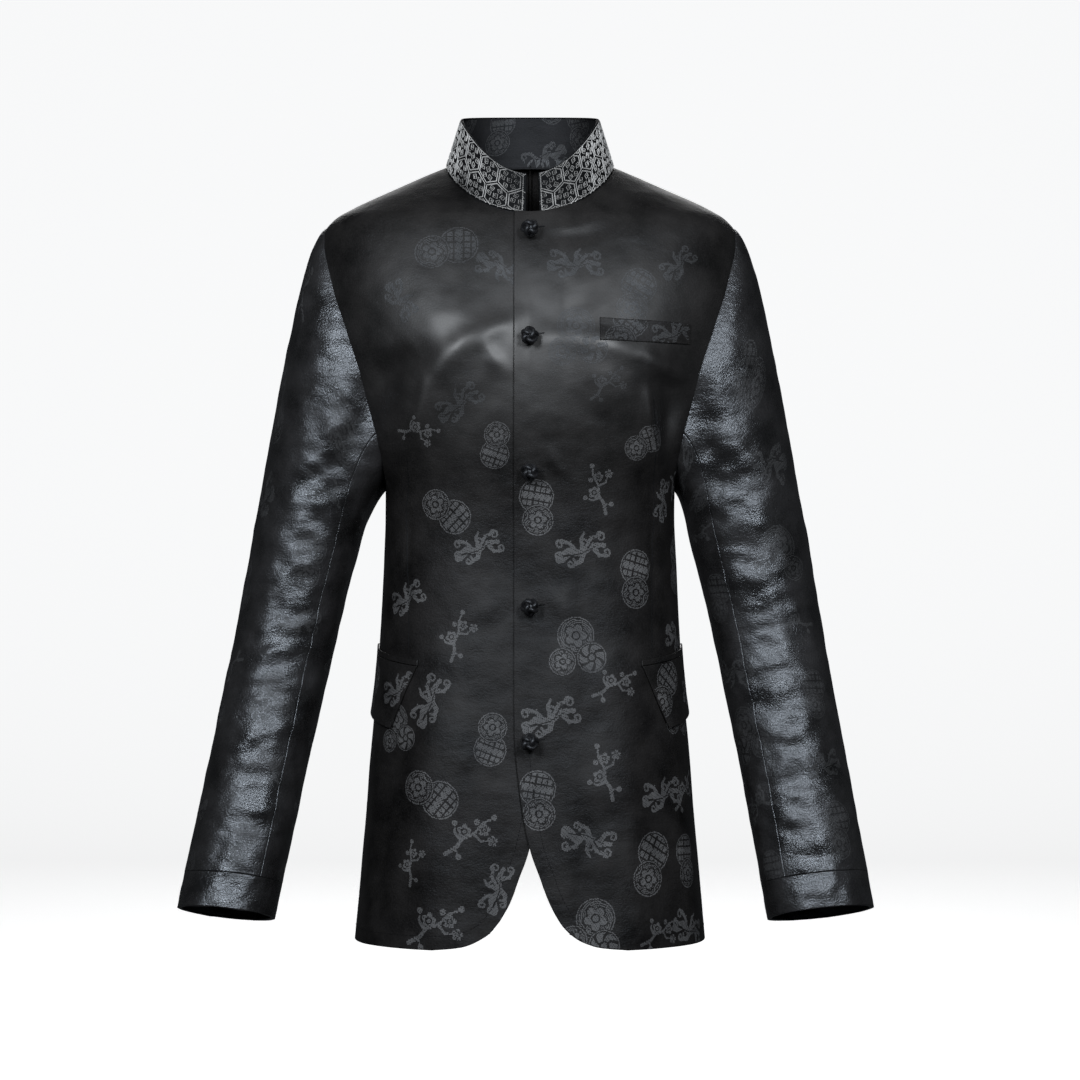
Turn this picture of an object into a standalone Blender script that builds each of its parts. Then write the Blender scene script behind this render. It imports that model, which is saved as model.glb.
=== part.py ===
"""Tang jacket as it is worn, with no wearer: hollow walls of cloth and knotted buttons.

Metres, +Z up, the front faces -Y and +X is the wearer's left. The origin is the middle of the
neck, level with the two high points of the shoulders. Each cut piece is a grid of points on the
jacket's outer surface, thickened inwards, so that the jacket stays open and empty.
"""

import math

import bmesh
import bpy
import numpy as np
from mathutils import Vector

# ---- driving sizes ----
BODY_CLOTH = 0.0015
SLEEVE_CLOTH = 0.0014
COLLAR_CLOTH = 0.0012
SEAM_GAP = 0.0004
CREASED_SEAM_GAP = 0.0012
ARMHOLE_STEP = 0.0006
LAID_ON = 0.0007
OVERLAP = 0.0136
OVERLAP_LIFT = 0.0021
OVERLAP_RUN = (0.026, 0.052)
SQUARENESS = 0.06
NECK_HALF_WIDTH = 0.0756
NECK_FRONT_DROP = 0.048
NECK_BACK_RISE = 0.0104
NECK_DROP_POWER = 1.35
SHOULDER_TIP = -0.0551
UNDERARM = -0.288
SIDE_SEAM_ANGLE = 97.0
HEM = -0.6920
VENT_TOP = -0.500
VENT_HALF_OPENING = 0.034
COLLAR_GAP = (-0.0035, 0.0090)
COLLAR_RISE = 0.0012
COLLAR_TOP_HALF_WIDTH = 0.0622
COLLAR_TOP_FRONT = 0.0715
COLLAR_TOP_BACK = 0.0505
COLLAR_SIDE_TOP = 0.0425
COLLAR_FRONT_DROP = 0.0546
COLLAR_BACK_RISE = 0.0088
CUFF_LENGTH = 0.030
FRONT_SLEEVE_SEAM = 126.0
BACK_SLEEVE_SEAM = 234.0
LEAN_FROM = -0.33
SIDE_LEAN = {"left": -0.004, "right": 0.004}
SIDE_WIDTH = {"left": 1.03, "right": 0.95}
RING_TILT = 0.6
BUTTON_HEIGHTS = (-0.0675, -0.160, -0.274, -0.394, -0.511)
BUTTON_RADIUS = 0.0082
SHANK_RADIUS = 0.0036
SHANK_LENGTH = 0.0014

# ---- how finely the panels are divided ----
SIDE_ROWS = 10
ROW_CROWDING = 1.3
ARMHOLE_ROWS = 10
NECK_COLUMNS = 6
SHOULDER_COLUMNS = 5
CAP_ROWS = 5
ARM_ROWS = 8
CUFF_ROWS = 1
COLLAR_COLUMNS = 32
COLLAR_ROWS = 3
RING_STEP = 18.0
EDGE_FADE = 3.5


def table(columns, *rows):
    """Named columns of a short table, one row for each section."""
    return dict(zip(columns, np.array(rows, float).T))


# The level sections of the body, from the neck down to the hem
TORSO = table(
    ("height", "half_width", "front_depth", "back_depth"),
    (0.0104, 0.0520, 0.006, 0.0560),
    (0.0050, 0.0642, 0.009, 0.0610),
    (0.0000, 0.0756, 0.013, 0.0655),
    (-0.0045, 0.0862, 0.0224, 0.0675),
    (-0.0165, 0.1130, 0.0404, 0.0715),
    (-0.0280, 0.1390, 0.0550, 0.0760),
    (-0.0375, 0.1590, 0.0660, 0.0795),
    (-0.0480, 0.1762, 0.0780, 0.0830),
    (-0.0600, 0.1855, 0.0855, 0.0860),
    (-0.0800, 0.1890, 0.0940, 0.0905),
    (-0.1100, 0.1880, 0.1040, 0.0955),
    (-0.1450, 0.1830, 0.1120, 0.0995),
    (-0.1850, 0.1730, 0.1170, 0.1010),
    (-0.2200, 0.1620, 0.1150, 0.0995),
    (-0.2500, 0.1490, 0.1090, 0.0960),
    (-0.2700, 0.1380, 0.1050, 0.0930),
    (-0.2880, 0.1300, 0.1020, 0.0900),
    (-0.3100, 0.1297, 0.0990, 0.0870),
    (-0.3530, 0.1314, 0.0975, 0.0840),
    (-0.4000, 0.1335, 0.0995, 0.0850),
    (-0.4500, 0.1365, 0.1045, 0.0900),
    (-0.5300, 0.1435, 0.1100, 0.0985),
    (-0.6100, 0.1500, 0.1150, 0.1055),
    (-0.6920, 0.1572, 0.1195, 0.1110),
)

# Soft fullness (or hollows, below zero) that the cut and darts give the fronts, on both sides
FULLNESS = table(
    ("across", "height", "across_reach", "height_reach", "forward"),
    (0.072, -0.172, 0.052, 0.055, 0.0075),
    (0.136, -0.213, 0.017, 0.028, -0.0100),
    (0.100, -0.560, 0.060, 0.090, 0.0030),
)

# The armhole's run round the body: 0 at the shoulder, 90 in front, 180 under the arm
ARMHOLE = table(
    ("turn", "body_angle"),
    (0, 90),
    (20, 77),
    (40, 69.5),
    (60, 63),
    (80, 58),
    (100, 55.5),
    (120, 56.5),
    (140, 62),
    (155, 72),
    (168, 85),
    (180, 97),
    (192, 104),
    (205, 110.5),
    (220, 116),
    (240, 119.5),
    (260, 120.5),
    (280, 119.5),
    (300, 117),
    (320, 111.5),
    (340, 102),
    (360, 90),
)

# Ring sections of the left sleeve, from the upper arm down to the cuff's edge
ARM = table(
    ("height", "out", "forward", "half_width", "half_depth"),
    (-0.330, 0.1975, 0.0000, 0.0512, 0.0600),
    (-0.389, 0.2098, 0.0030, 0.0485, 0.0565),
    (-0.442, 0.2203, 0.0100, 0.0472, 0.0532),
    (-0.531, 0.2376, 0.0275, 0.0462, 0.0490),
    (-0.665, 0.2625, 0.0570, 0.0458, 0.0445),
)

ARM_TOP = ARM["height"].max()
CUFF_EDGE = ARM["height"].min()
CUFF_SEAM = CUFF_EDGE + CUFF_LENGTH

# The front edge where it rounds away to the hem
CUTAWAY = table(
    ("across", "height"),
    (-0.0136, -0.470),
    (-0.0133, -0.500),
    (-0.0085, -0.556),
    (0.0003, -0.604),
    (0.0090, -0.6286),
    (0.0180, -0.652),
    (0.0355, -0.677),
    (0.0600, -0.689),
    (0.0850, -0.692),
)
CUTAWAY_CORNER = 6

# Patches that lie on the fronts: corners as (distance across, height)
BREAST_WELT = table(
    ("across", "height"),
    (0.0610, -0.1620),
    (0.1400, -0.1635),
    (0.1400, -0.1455),
    (0.0610, -0.1420),
)
POCKET_JET = table(
    ("body_angle", "height"),
    (42.5, -0.4455),
    (93.0, -0.4330),
    (93.0, -0.4282),
    (42.5, -0.4408),
)
POCKET_FLAP = table(
    ("body_angle", "height"),
    (55.0, -0.5010),
    (93.0, -0.4870),
    (93.0, -0.4336),
    (42.9, -0.4461),
)

COLORS = {
    "cloth": ((0.020, 0.021, 0.025, 1.0), 0.42, 0.0),
    "collar": ((0.10, 0.10, 0.11, 1.0), 0.5, 0.2),
    "facing": ((0.035, 0.035, 0.04, 1.0), 0.5, 0.0),
    "cord": ((0.012, 0.012, 0.014, 1.0), 0.5, 0.0),
}


def between(places, values, at):
    """Values of a table's column at any place: a smooth curve that doesn't overshoot its rows."""
    order = np.argsort(places)
    places, values = places[order], values[order]
    step = np.diff(places)
    rise = np.diff(values) / step
    slope = np.zeros(len(places))
    same_way = rise[:-1] * rise[1:] > 0
    slope[1:-1][same_way] = 2 / (1 / rise[:-1][same_way] + 1 / rise[1:][same_way])
    slope[0], slope[-1] = rise[0], rise[-1]
    at = np.clip(at, places[0], places[-1])
    i = np.clip(np.searchsorted(places, at) - 1, 0, len(step) - 1)
    t = (at - places[i]) / step[i]
    return (
        values[i] * (1 + 2 * t) * (1 - t) ** 2
        + values[i + 1] * t**2 * (3 - 2 * t)
        + slope[i] * step[i] * t * (1 - t) ** 2
        - slope[i + 1] * step[i] * t**2 * (1 - t)
    )


def unit(v):
    return v / np.maximum(np.linalg.norm(v, axis=-1, keepdims=True), 1e-12)


def section(height):
    """Half width, front depth and back depth of the body at a height."""
    return [
        between(TORSO["height"], TORSO[name], height)
        for name in ("half_width", "front_depth", "back_depth")
    ]


def plain_torso(angle, height):
    """The body without its soft fullness. The angle is 0 in front, 90 at the wearer's left."""
    turn = np.radians(angle)
    half_width, front, back = section(height)
    square = 1 + SQUARENESS * np.sin(2 * turn) ** 2
    x = half_width * np.sin(turn) * square
    y = -np.where(np.cos(turn) > 0, front, back) * np.cos(turn) * square
    return np.stack([x, y, height + 0 * x], -1)


def torso(angle, height):
    """Points of the body's outer surface."""
    points = plain_torso(angle, height)
    facing = np.clip(2 * np.cos(np.radians(angle)), 0, 1)
    for row in range(len(FULLNESS["across"])):
        full = {name: column[row] for name, column in FULLNESS.items()}
        away = ((np.abs(points[..., 0]) - full["across"]) / full["across_reach"]) ** 2
        away = away + ((height - full["height"]) / full["height_reach"]) ** 2
        points[..., 1] -= full["forward"] * np.exp(-away) * facing
    return points


def angle_at(across, height, behind=False):
    """The body angle whose point is this far across."""
    ratio = across / section(height)[0]
    turn = 0 * ratio
    for _ in range(14):
        turn = np.arcsin(np.clip(ratio / (1 + SQUARENESS * np.sin(2 * turn) ** 2), -1, 1))
    angle = np.degrees(turn)
    return 180 - angle if behind else angle


def outward(angle, height):
    """The body's outward normal."""
    step = 1e-3
    across = torso(angle + step, height) - torso(angle - step, height)
    up = torso(angle, height + step) - torso(angle, height - step)
    return unit(np.cross(across, up))


def armhole(turn):
    """(body angle, height) of the armhole's seam. The turn is 0 at the shoulder, 90 in front."""
    lift = (1 + np.cos(np.radians(turn))) / 2
    angle = between(ARMHOLE["turn"], ARMHOLE["body_angle"], np.mod(turn, 360))
    return angle, UNDERARM + (SHOULDER_TIP - UNDERARM) * lift


def neckline(turn):
    """(body angle, height) of the neck seam. The turn is 0 in front, 90 at the shoulder."""
    turn = np.asarray(turn, float)
    forward = np.cos(np.radians(turn))
    drop = -NECK_FRONT_DROP * np.clip(forward, 0, 1) ** NECK_DROP_POWER
    height = np.where(forward > 0, drop, NECK_BACK_RISE * forward**2)
    across = NECK_HALF_WIDTH * np.sin(np.radians(turn))
    return np.where(
        forward > 0, angle_at(across, height), angle_at(across, height, behind=True)
    ), height


def coons(left, right, bottom, top):
    """A grid of (angle, height) between four edges of such pairs, in rows from bottom to top."""
    u = np.linspace(0, 1, len(bottom))[None, :, None]
    v = np.linspace(0, 1, len(left))[:, None, None]
    near, far, low, high = (
        plain_torso(edge[:, 0], edge[:, 1]) for edge in (left, right, bottom, top)
    )
    middle = (1 - u) * near[:, None] + u * far[:, None]
    middle += (1 - v) ** EDGE_FADE * (low - (1 - u) * low[0] - u * low[-1])
    middle += v**EDGE_FADE * (high - (1 - u) * high[0] - u * high[-1])
    height = middle[..., 2]
    half_width, front, back = section(height)
    depth = np.where(middle[..., 1] < 0, front, back)
    angle = np.degrees(np.arctan2(middle[..., 0] / half_width, -middle[..., 1] / depth))
    grid = np.stack([angle, height], -1)
    grid[:, 0], grid[:, -1], grid[0], grid[-1] = left, right, bottom, top
    return grid


def pairs(angle, height):
    return np.stack([angle, height + 0 * angle], -1)


def side_edge(turns, hem_height):
    """The side seam from the hem to the underarm, then the armhole up to the shoulder."""
    share = np.linspace(0, 1, SIDE_ROWS + 1)[:-1] ** ROW_CROWDING
    heights = hem_height + (UNDERARM - hem_height) * share
    seam = pairs(SIDE_SEAM_ANGLE + 0 * heights, heights)
    return np.concatenate([seam, pairs(*armhole(turns))])


def spread_like(edge, low, high):
    """Heights from low to high, spaced as the other edge's heights are."""
    part = (edge[:, 1] - edge[0, 1]) / (edge[-1, 1] - edge[0, 1])
    return low + (high - low) * part


def front_grid():
    """(angle, height) over one front, from its free edge round to the side seam."""
    right = side_edge(np.linspace(180, 0, ARMHOLE_ROWS + 1), HEM)
    corner_x = CUTAWAY["across"][CUTAWAY_CORNER]
    corner_z = CUTAWAY["height"][CUTAWAY_CORNER]
    first_turn = math.degrees(math.asin(-OVERLAP / NECK_HALF_WIDTH))
    neck_turns = np.concatenate(
        [np.linspace(first_turn, 90, NECK_COLUMNS + 1)[:-1], np.full(SHOULDER_COLUMNS + 1, 90)]
    )
    top = pairs(*neckline(neck_turns))
    top[NECK_COLUMNS:, 0] = 90
    top[NECK_COLUMNS:, 1] = np.linspace(0, SHOULDER_TIP, SHOULDER_COLUMNS + 1)
    heights = spread_like(right, corner_z, top[0, 1])
    edge_x = np.where(
        heights < CUTAWAY["height"][0],
        between(CUTAWAY["height"], CUTAWAY["across"], heights),
        -OVERLAP,
    )
    left = pairs(angle_at(edge_x, heights), heights)
    columns = NECK_COLUMNS + SHOULDER_COLUMNS + 1
    hem_angles = np.linspace(left[0, 0], SIDE_SEAM_ANGLE, columns)
    hem_x = torso(hem_angles, np.full(columns, HEM))[:, 0]
    hem_z = np.where(hem_angles > 60, HEM, between(CUTAWAY["across"], CUTAWAY["height"], hem_x))
    bottom = pairs(hem_angles, hem_z)
    bottom[0], bottom[-1] = (left[0], right[0])
    return coons(left, right, bottom, top)


def back_grid():
    """(angle, height) over one back, from the side seam round to the centre seam."""
    left = side_edge(np.linspace(180, 360, ARMHOLE_ROWS + 1), HEM)
    neck_turns = np.linspace(90, 180, NECK_COLUMNS + 1)
    heights = spread_like(left, HEM, NECK_BACK_RISE)
    opening = np.clip((VENT_TOP - heights) / (VENT_TOP - HEM), 0, 1)
    right = pairs(
        angle_at(VENT_HALF_OPENING * opening**1.15, heights, behind=True), heights
    )
    shoulder = pairs(np.full(SHOULDER_COLUMNS, 90.0), np.linspace(SHOULDER_TIP, 0, SHOULDER_COLUMNS + 1)[:-1])
    top = np.concatenate([shoulder, pairs(*neckline(neck_turns))])
    top[SHOULDER_COLUMNS] = (90, 0)
    top[-1] = (180, NECK_BACK_RISE)
    columns = NECK_COLUMNS + SHOULDER_COLUMNS + 1
    bottom = pairs(np.linspace(SIDE_SEAM_ANGLE, right[0, 0], columns), np.full(columns, HEM))
    return coons(left, right, bottom, top)


def top_front_lift(grid):
    """How far the top front stands off the body's surface, to clear the one beneath it."""
    across = torso(grid[..., 0], grid[..., 1])[..., 0]
    lifted, flat = OVERLAP_RUN
    share = np.clip((flat - across) / (flat - lifted), 0, 1)
    return (OVERLAP_LIFT * share**2 * (3 - 2 * share))[..., None]


def arm_ring(turn, height, width=1.0):
    """Points round the left sleeve's ring at this height of its middle line, and its direction."""
    columns = ("out", "forward", "half_width", "half_depth")
    out, forward, half_width, half_depth = (
        between(ARM["height"], ARM[name], height) for name in columns
    )
    step = 2e-3
    low = np.clip(height - step, CUFF_EDGE, None)
    high = np.clip(height + step, None, ARM_TOP)
    run_out, run_forward = (
        (between(ARM["height"], ARM[name], low) - between(ARM["height"], ARM[name], high))
        / (high - low)
        for name in ("out", "forward")
    )
    down = 0 * run_out - 1
    along = unit(np.stack([run_out, -run_forward, down], -1))
    square_to = unit(np.stack([RING_TILT * run_out, -run_forward, down], -1))
    outwards = unit(np.cross([0.0, -1.0, 0.0], square_to))
    forwards = np.cross(square_to, outwards)
    middle = np.stack([out + half_width * (1 - width), -forward, height], -1)
    angle = np.radians(turn)
    ring = outwards * (half_width * width * np.cos(angle))[..., None]
    ring = ring + forwards * (half_depth * np.sin(angle))[..., None]
    return middle + ring, along


def sleeve_cap(turn, part, width=1.0):
    """Points of the left sleeve between the armhole (part 0) and the upper arm ring (part 1)."""
    start = torso(*armhole(turn)) + outward(*armhole(turn)) * ARMHOLE_STEP
    end, along = arm_ring(turn, np.full(turn.shape, ARM_TOP), width)
    lift = (1 + np.cos(np.radians(turn))) / 2
    leaving = unit(
        np.stack(
            [0.72 + 0.13 * lift, -0.22 * np.sin(np.radians(turn)), -0.70 + 0.17 * lift], -1
        )
    )
    reach = np.linalg.norm(end - start, axis=-1)[..., None]
    first = leaving * reach * (0.85 - 0.55 * lift)[..., None]
    last = along * reach * 0.95
    t = part[..., None]
    return (
        start * (1 + 2 * t) * (1 - t) ** 2
        + end * t**2 * (3 - 2 * t)
        + first * t * (1 - t) ** 2
        - last * t**2 * (1 - t)
    )


def sleeve_grid(turns, width=1.0):
    """Points over the left sleeve and cuff, in rows from the armhole down to the cuff's edge."""
    parts = np.linspace(0, 1, CAP_ROWS + 1)[:-1]
    cap = sleeve_cap(*np.broadcast_arrays(turns[None, :], parts[:, None]), width)
    heights = np.linspace(ARM_TOP, CUFF_SEAM, ARM_ROWS + 1)
    heights = np.append(heights, np.linspace(CUFF_SEAM, CUFF_EDGE, CUFF_ROWS + 1)[1:])
    arm, _ = arm_ring(*np.broadcast_arrays(turns[None, :], heights[:, None]), width)
    return np.concatenate([cap, arm])


def ring_normals(points):
    """Outward normals of a closed sleeve, whose first and last columns are the same seam."""
    around = np.concatenate([points[:, -2:-1], points, points[:, 1:2]], axis=1)
    across = around[:, 2:] - around[:, :-2]
    return unit(np.cross(across, np.gradient(points, axis=0)))


def collar_point(turn, part):
    """Points of the collar's outer side. The part is 0 at the neck seam and 1 at the top."""
    base = torso(*neckline(turn))
    facing = np.radians(turn)
    forward = np.cos(facing)
    top_x = COLLAR_TOP_HALF_WIDTH * np.sin(facing)
    top_y = -np.where(forward > 0, COLLAR_TOP_FRONT, COLLAR_TOP_BACK) * forward
    top_z = COLLAR_SIDE_TOP - COLLAR_FRONT_DROP * np.clip(forward, 0, 1) ** 1.75
    top_z += COLLAR_BACK_RISE * np.clip(-forward, 0, 1) ** 0.7
    top = np.stack([top_x, top_y, top_z], -1)
    rise = unit(top - base)
    base = base + rise * COLLAR_RISE
    return base + (top - base) * part[..., None]


def collar_grid():
    first = math.degrees(math.asin(COLLAR_GAP[1] / NECK_HALF_WIDTH))
    last = 360 - math.degrees(math.asin(-COLLAR_GAP[0] / NECK_HALF_WIDTH))
    turns = np.linspace(first, last, COLLAR_COLUMNS + 1)
    parts = np.linspace(0, 1, COLLAR_ROWS + 1)
    return collar_point(*np.broadcast_arrays(turns[None, :], parts[:, None]))


def patch_grid(corners, columns, rows):
    """(angle, height) over a four-cornered patch: lower near, lower far, upper far, upper near."""
    u = np.linspace(0, 1, columns + 1)[None, :, None]
    v = np.linspace(0, 1, rows + 1)[:, None, None]
    low = corners[0] * (1 - u) + corners[1] * u
    high = corners[3] * (1 - u) + corners[2] * u
    return low * (1 - v) + high * v


def seam_inset(points, sides):
    """Draws the named edges in by half a seam's gap, more at the top, where the walls turn."""
    points = points.copy()
    inner = {
        "left": (points[:, 0], points[:, 1]),
        "right": (points[:, -1], points[:, -2]),
        "bottom": (points[0], points[1]),
        "top": (points[-1], points[-2]),
    }
    for side in sides:
        edge, next_to = inner[side]
        gap = CREASED_SEAM_GAP if side == "top" else SEAM_GAP
        edge += unit(next_to - edge) * gap / 2
    return points


def mirrored(points):
    """The same grid on the wearer's other side, with its columns turned round."""
    return points[:, ::-1] * np.array([-1.0, 1.0, 1.0])


def leaning(points, side):
    """Lets a sleeve hang a little further out towards its cuff."""
    share = np.clip((LEAN_FROM - points[..., 2]) / (LEAN_FROM - CUFF_EDGE), 0, 1)
    points = points.copy()
    points[..., 0] += SIDE_LEAN[side] * share**1.5
    return points


def material(name):
    found = bpy.data.materials.get(name)
    if found:
        return found
    color, roughness, metallic = COLORS[name]
    made = bpy.data.materials.new(name)
    made.use_nodes = True
    shader = made.node_tree.nodes["Principled BSDF"]
    shader.inputs["Base Color"].default_value = color
    shader.inputs["Roughness"].default_value = roughness
    shader.inputs["Metallic"].default_value = metallic
    made.diffuse_color = color
    return made


def add_object(name, mesh, slot):
    mesh.materials.append(material(slot))
    made = bpy.data.objects.new(name, mesh)
    jacket.objects.link(made)
    return made


def panel(name, points, normals, slot, thickness):
    """A wall of cloth: a grid through the outer points, extruded along its own inward normals."""
    rows, columns = points.shape[:2]
    wall = bmesh.new()
    bmesh.ops.create_grid(wall, x_segments=columns - 1, y_segments=rows - 1, size=1)
    inward = {}
    for vert, place, normal in zip(wall.verts, points.reshape(-1, 3), normals.reshape(-1, 3)):
        vert.co = place
        inward[tuple(vert.co)] = Vector(-thickness * normal)
    extruded = bmesh.ops.extrude_face_region(wall, geom=wall.faces[:], use_keep_orig=True)
    for item in extruded["geom"]:
        if isinstance(item, bmesh.types.BMVert):
            item.co += inward[tuple(item.co)]
    bmesh.ops.recalc_face_normals(wall, faces=wall.faces)
    mesh = bpy.data.meshes.new(name)
    wall.to_mesh(mesh)
    wall.free()
    return add_object(name, mesh, slot)


def laid_on(name, corners, columns, rows, side):
    """A small piece that lies on a front: the front's own points, moved out."""
    grid = patch_grid(corners, columns, rows)
    normals = outward(grid[..., 0], grid[..., 1])
    points = torso(grid[..., 0], grid[..., 1]) + normals * (LAID_ON + SLEEVE_CLOTH)
    if side == "right":
        points, normals = mirrored(points), mirrored(normals)
    return panel(name, points, normals, "cloth", SLEEVE_CLOTH)


def button(name, height):
    """A knotted ball on a short shank, standing on the top front at the centre line."""
    profile = bmesh.new()
    ring = [(0.0, 0.0), (SHANK_RADIUS, 0.0)]
    reach = math.sqrt(BUTTON_RADIUS**2 - SHANK_RADIUS**2)
    centre = SHANK_LENGTH + reach
    start = math.asin(SHANK_RADIUS / BUTTON_RADIUS)
    for step in range(8):
        angle = start + (math.pi - start) * step / 7
        ring.append((BUTTON_RADIUS * math.sin(angle), centre - BUTTON_RADIUS * math.cos(angle)))
    ring[-1] = (0.0, centre + BUTTON_RADIUS)
    verts = [profile.verts.new((radius, 0, along)) for radius, along in ring]
    for first, second in zip(verts, verts[1:]):
        profile.edges.new((first, second))
    mesh = bpy.data.meshes.new(name)
    profile.to_mesh(mesh)
    profile.free()
    made = add_object(name, mesh, "cord")
    turned = made.modifiers.new("turned", "SCREW")
    turned.steps = turned.render_steps = 14
    turned.use_merge_vertices = True
    turned.merge_threshold = 1e-5
    turned.use_normal_calculate = True
    angle = angle_at(np.array(0.0), np.array(height))
    normal = outward(angle, np.array(height))
    foot = torso(angle, np.array(height)) + normal * (OVERLAP_LIFT + LAID_ON)
    made.location = foot
    made.rotation_euler = (math.atan2(-normal[1], normal[2]), 0, 0)
    return made


def build_body():
    front, back = front_grid(), back_grid()
    lift = top_front_lift(front)
    outline = (("front", front, ("right", "top")), ("back", back, ("left", "right", "top")))
    for name, grid, seams in outline:
        normals = outward(grid[..., 0], grid[..., 1])
        points = torso(grid[..., 0], grid[..., 1])
        left = points + normals * lift if name == "front" else points
        panel(f"{name}_left", seam_inset(left, seams), normals, "cloth", BODY_CLOTH)
        right = mirrored(seam_inset(points, seams))
        panel(f"{name}_right", right, mirrored(normals), "cloth", BODY_CLOTH)


def build_sleeves():
    turns = np.arange(BACK_SLEEVE_SEAM - 360, BACK_SLEEVE_SEAM + 1, RING_STEP)
    seam = round((FRONT_SLEEVE_SEAM - turns[0]) / RING_STEP)
    sleeve_rows = CAP_ROWS + ARM_ROWS + 1
    pieces = (
        ("sleeve_upper", slice(0, sleeve_rows), slice(0, seam + 1)),
        ("sleeve_under", slice(0, sleeve_rows), slice(seam, len(turns))),
        ("cuff", slice(sleeve_rows - 1, None), slice(0, len(turns))),
    )
    for side, width in SIDE_WIDTH.items():
        whole = leaning(sleeve_grid(turns, width), side)
        normals = ring_normals(whole)
        for name, rows, columns in pieces:
            points = seam_inset(whole[rows, columns], ("left", "right", "top", "bottom"))
            out = normals[rows, columns]
            if side == "right":
                points, out = mirrored(points), mirrored(out)
            panel(f"{name}_{side}", points, out, "cloth", SLEEVE_CLOTH)


def build_collar():
    outer = collar_grid()
    across, up = np.gradient(outer, axis=1), np.gradient(outer, axis=0)
    normals = unit(np.cross(across, up))
    panel("collar_outer", outer, normals, "collar", COLLAR_CLOTH)
    inner = outer - normals * (COLLAR_CLOTH + SEAM_GAP)
    panel("collar_inner", inner, normals, "facing", COLLAR_CLOTH)


def build_pockets():
    welt = np.stack([angle_at(BREAST_WELT["across"], BREAST_WELT["height"]), BREAST_WELT["height"]], -1)
    laid_on("breast_welt", welt, 6, 2, "left")
    jet = np.stack([POCKET_JET["body_angle"], POCKET_JET["height"]], -1)
    flap = np.stack([POCKET_FLAP["body_angle"], POCKET_FLAP["height"]], -1)
    for side in ("left", "right"):
        laid_on(f"pocket_jet_{side}", jet, 10, 1, side)
        laid_on(f"pocket_flap_{side}", flap, 10, 4, side)


for old in list(bpy.data.objects):
    bpy.data.objects.remove(old, do_unlink=True)
jacket = bpy.data.collections.new("tang_jacket")
bpy.context.scene.collection.children.link(jacket)
build_body()
build_sleeves()
build_collar()
build_pockets()
for number, height in enumerate(BUTTON_HEIGHTS, 1):
    button(f"button_{number}", height)
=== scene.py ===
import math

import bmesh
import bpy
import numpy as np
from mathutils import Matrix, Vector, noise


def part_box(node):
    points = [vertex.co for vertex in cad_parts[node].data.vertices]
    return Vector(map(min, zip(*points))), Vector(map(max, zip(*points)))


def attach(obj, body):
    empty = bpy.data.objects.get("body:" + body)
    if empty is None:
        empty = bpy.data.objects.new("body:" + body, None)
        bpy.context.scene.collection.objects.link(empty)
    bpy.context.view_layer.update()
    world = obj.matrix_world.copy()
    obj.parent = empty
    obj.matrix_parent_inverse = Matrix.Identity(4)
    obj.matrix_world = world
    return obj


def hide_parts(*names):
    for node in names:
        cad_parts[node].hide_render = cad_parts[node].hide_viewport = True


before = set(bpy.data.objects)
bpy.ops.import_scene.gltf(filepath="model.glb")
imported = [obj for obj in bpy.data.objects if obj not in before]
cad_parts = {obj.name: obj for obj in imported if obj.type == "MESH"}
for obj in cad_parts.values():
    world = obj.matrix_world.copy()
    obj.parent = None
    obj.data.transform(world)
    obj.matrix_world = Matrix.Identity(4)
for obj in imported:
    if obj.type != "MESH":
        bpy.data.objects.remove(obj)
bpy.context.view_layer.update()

# %% [markdown]
# # A tang jacket with nobody in it
#
# The jacket is dark mud silk with a woven figure, a stiff embroidered stand collar and five
# knotted buttons. It hangs as if worn, and it is empty inside. Each cut piece of cloth is
# made here as its own thin shell, so the seams are real gaps between pieces.
#
# Everything is in metres. The front looks along -Y, and +X is the wearer's left.

scene = bpy.context.scene

# %% [markdown]
# ## Camera, floor and light
#
# A garment laid out for a shop is best seen level from the front through a long lens, which
# keeps its width true. Dark glossy cloth shows almost nothing but the reflections of the
# lamps, so two soft ones stand in front, a little above the chest and to each side. Cloth
# that leans upwards, over the chest and down the sleeves, catches them and the rest stays
# dark. A weak lamp above and one behind keep the outline readable.

# %% The camera
camera_data = bpy.data.cameras.new("camera")
camera_data.sensor_width = 36
camera_data.lens = 118.5
camera = bpy.data.objects.new("camera", camera_data)
camera.location = (0.009, -3.2, -0.335)
camera.rotation_euler = (math.radians(90), 0, 0)
scene.collection.objects.link(camera)
scene.camera = camera
print("camera looks level from", tuple(round(c, 3) for c in camera.location))

# %% The pale sweep of floor and backdrop
FLOOR = -0.95


def plain_material(name, color, roughness):
    made = bpy.data.materials.new(name)
    made.use_nodes = True
    shader = made.node_tree.nodes["Principled BSDF"]
    shader.inputs["Base Color"].default_value = (*color, 1)
    shader.inputs["Roughness"].default_value = roughness
    return made


def sweep():
    profile = [(-7.0, FLOOR), (3.6, FLOOR)]
    for step in range(1, 13):
        turn = math.radians(90 * step / 12)
        profile.append((3.6 + 1.4 * math.sin(turn), FLOOR + 1.4 * (1 - math.cos(turn))))
    profile.append((5.0, 5.0))
    points = [(x, y, z) for y, z in profile for x in (-7.0, 7.0)]
    faces = [(i, i + 1, i + 3, i + 2) for i in range(0, len(points) - 2, 2)]
    mesh = bpy.data.meshes.new("floor")
    mesh.from_pydata(points, [], faces)
    mesh.shade_smooth()
    made = bpy.data.objects.new("floor", mesh)
    scene.collection.objects.link(made)
    return made


floor = sweep()
paper = plain_material("pale_paper", (0.93, 0.93, 0.93), 0.9)
paper.node_tree.nodes["Principled BSDF"].inputs["Emission Color"].default_value = (1, 1, 1, 1)
paper.node_tree.nodes["Principled BSDF"].inputs["Emission Strength"].default_value = 0.80
floor.data.materials.append(paper)
floor.visible_glossy = False
floor.visible_diffuse = False

# %% The soft lamps


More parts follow.
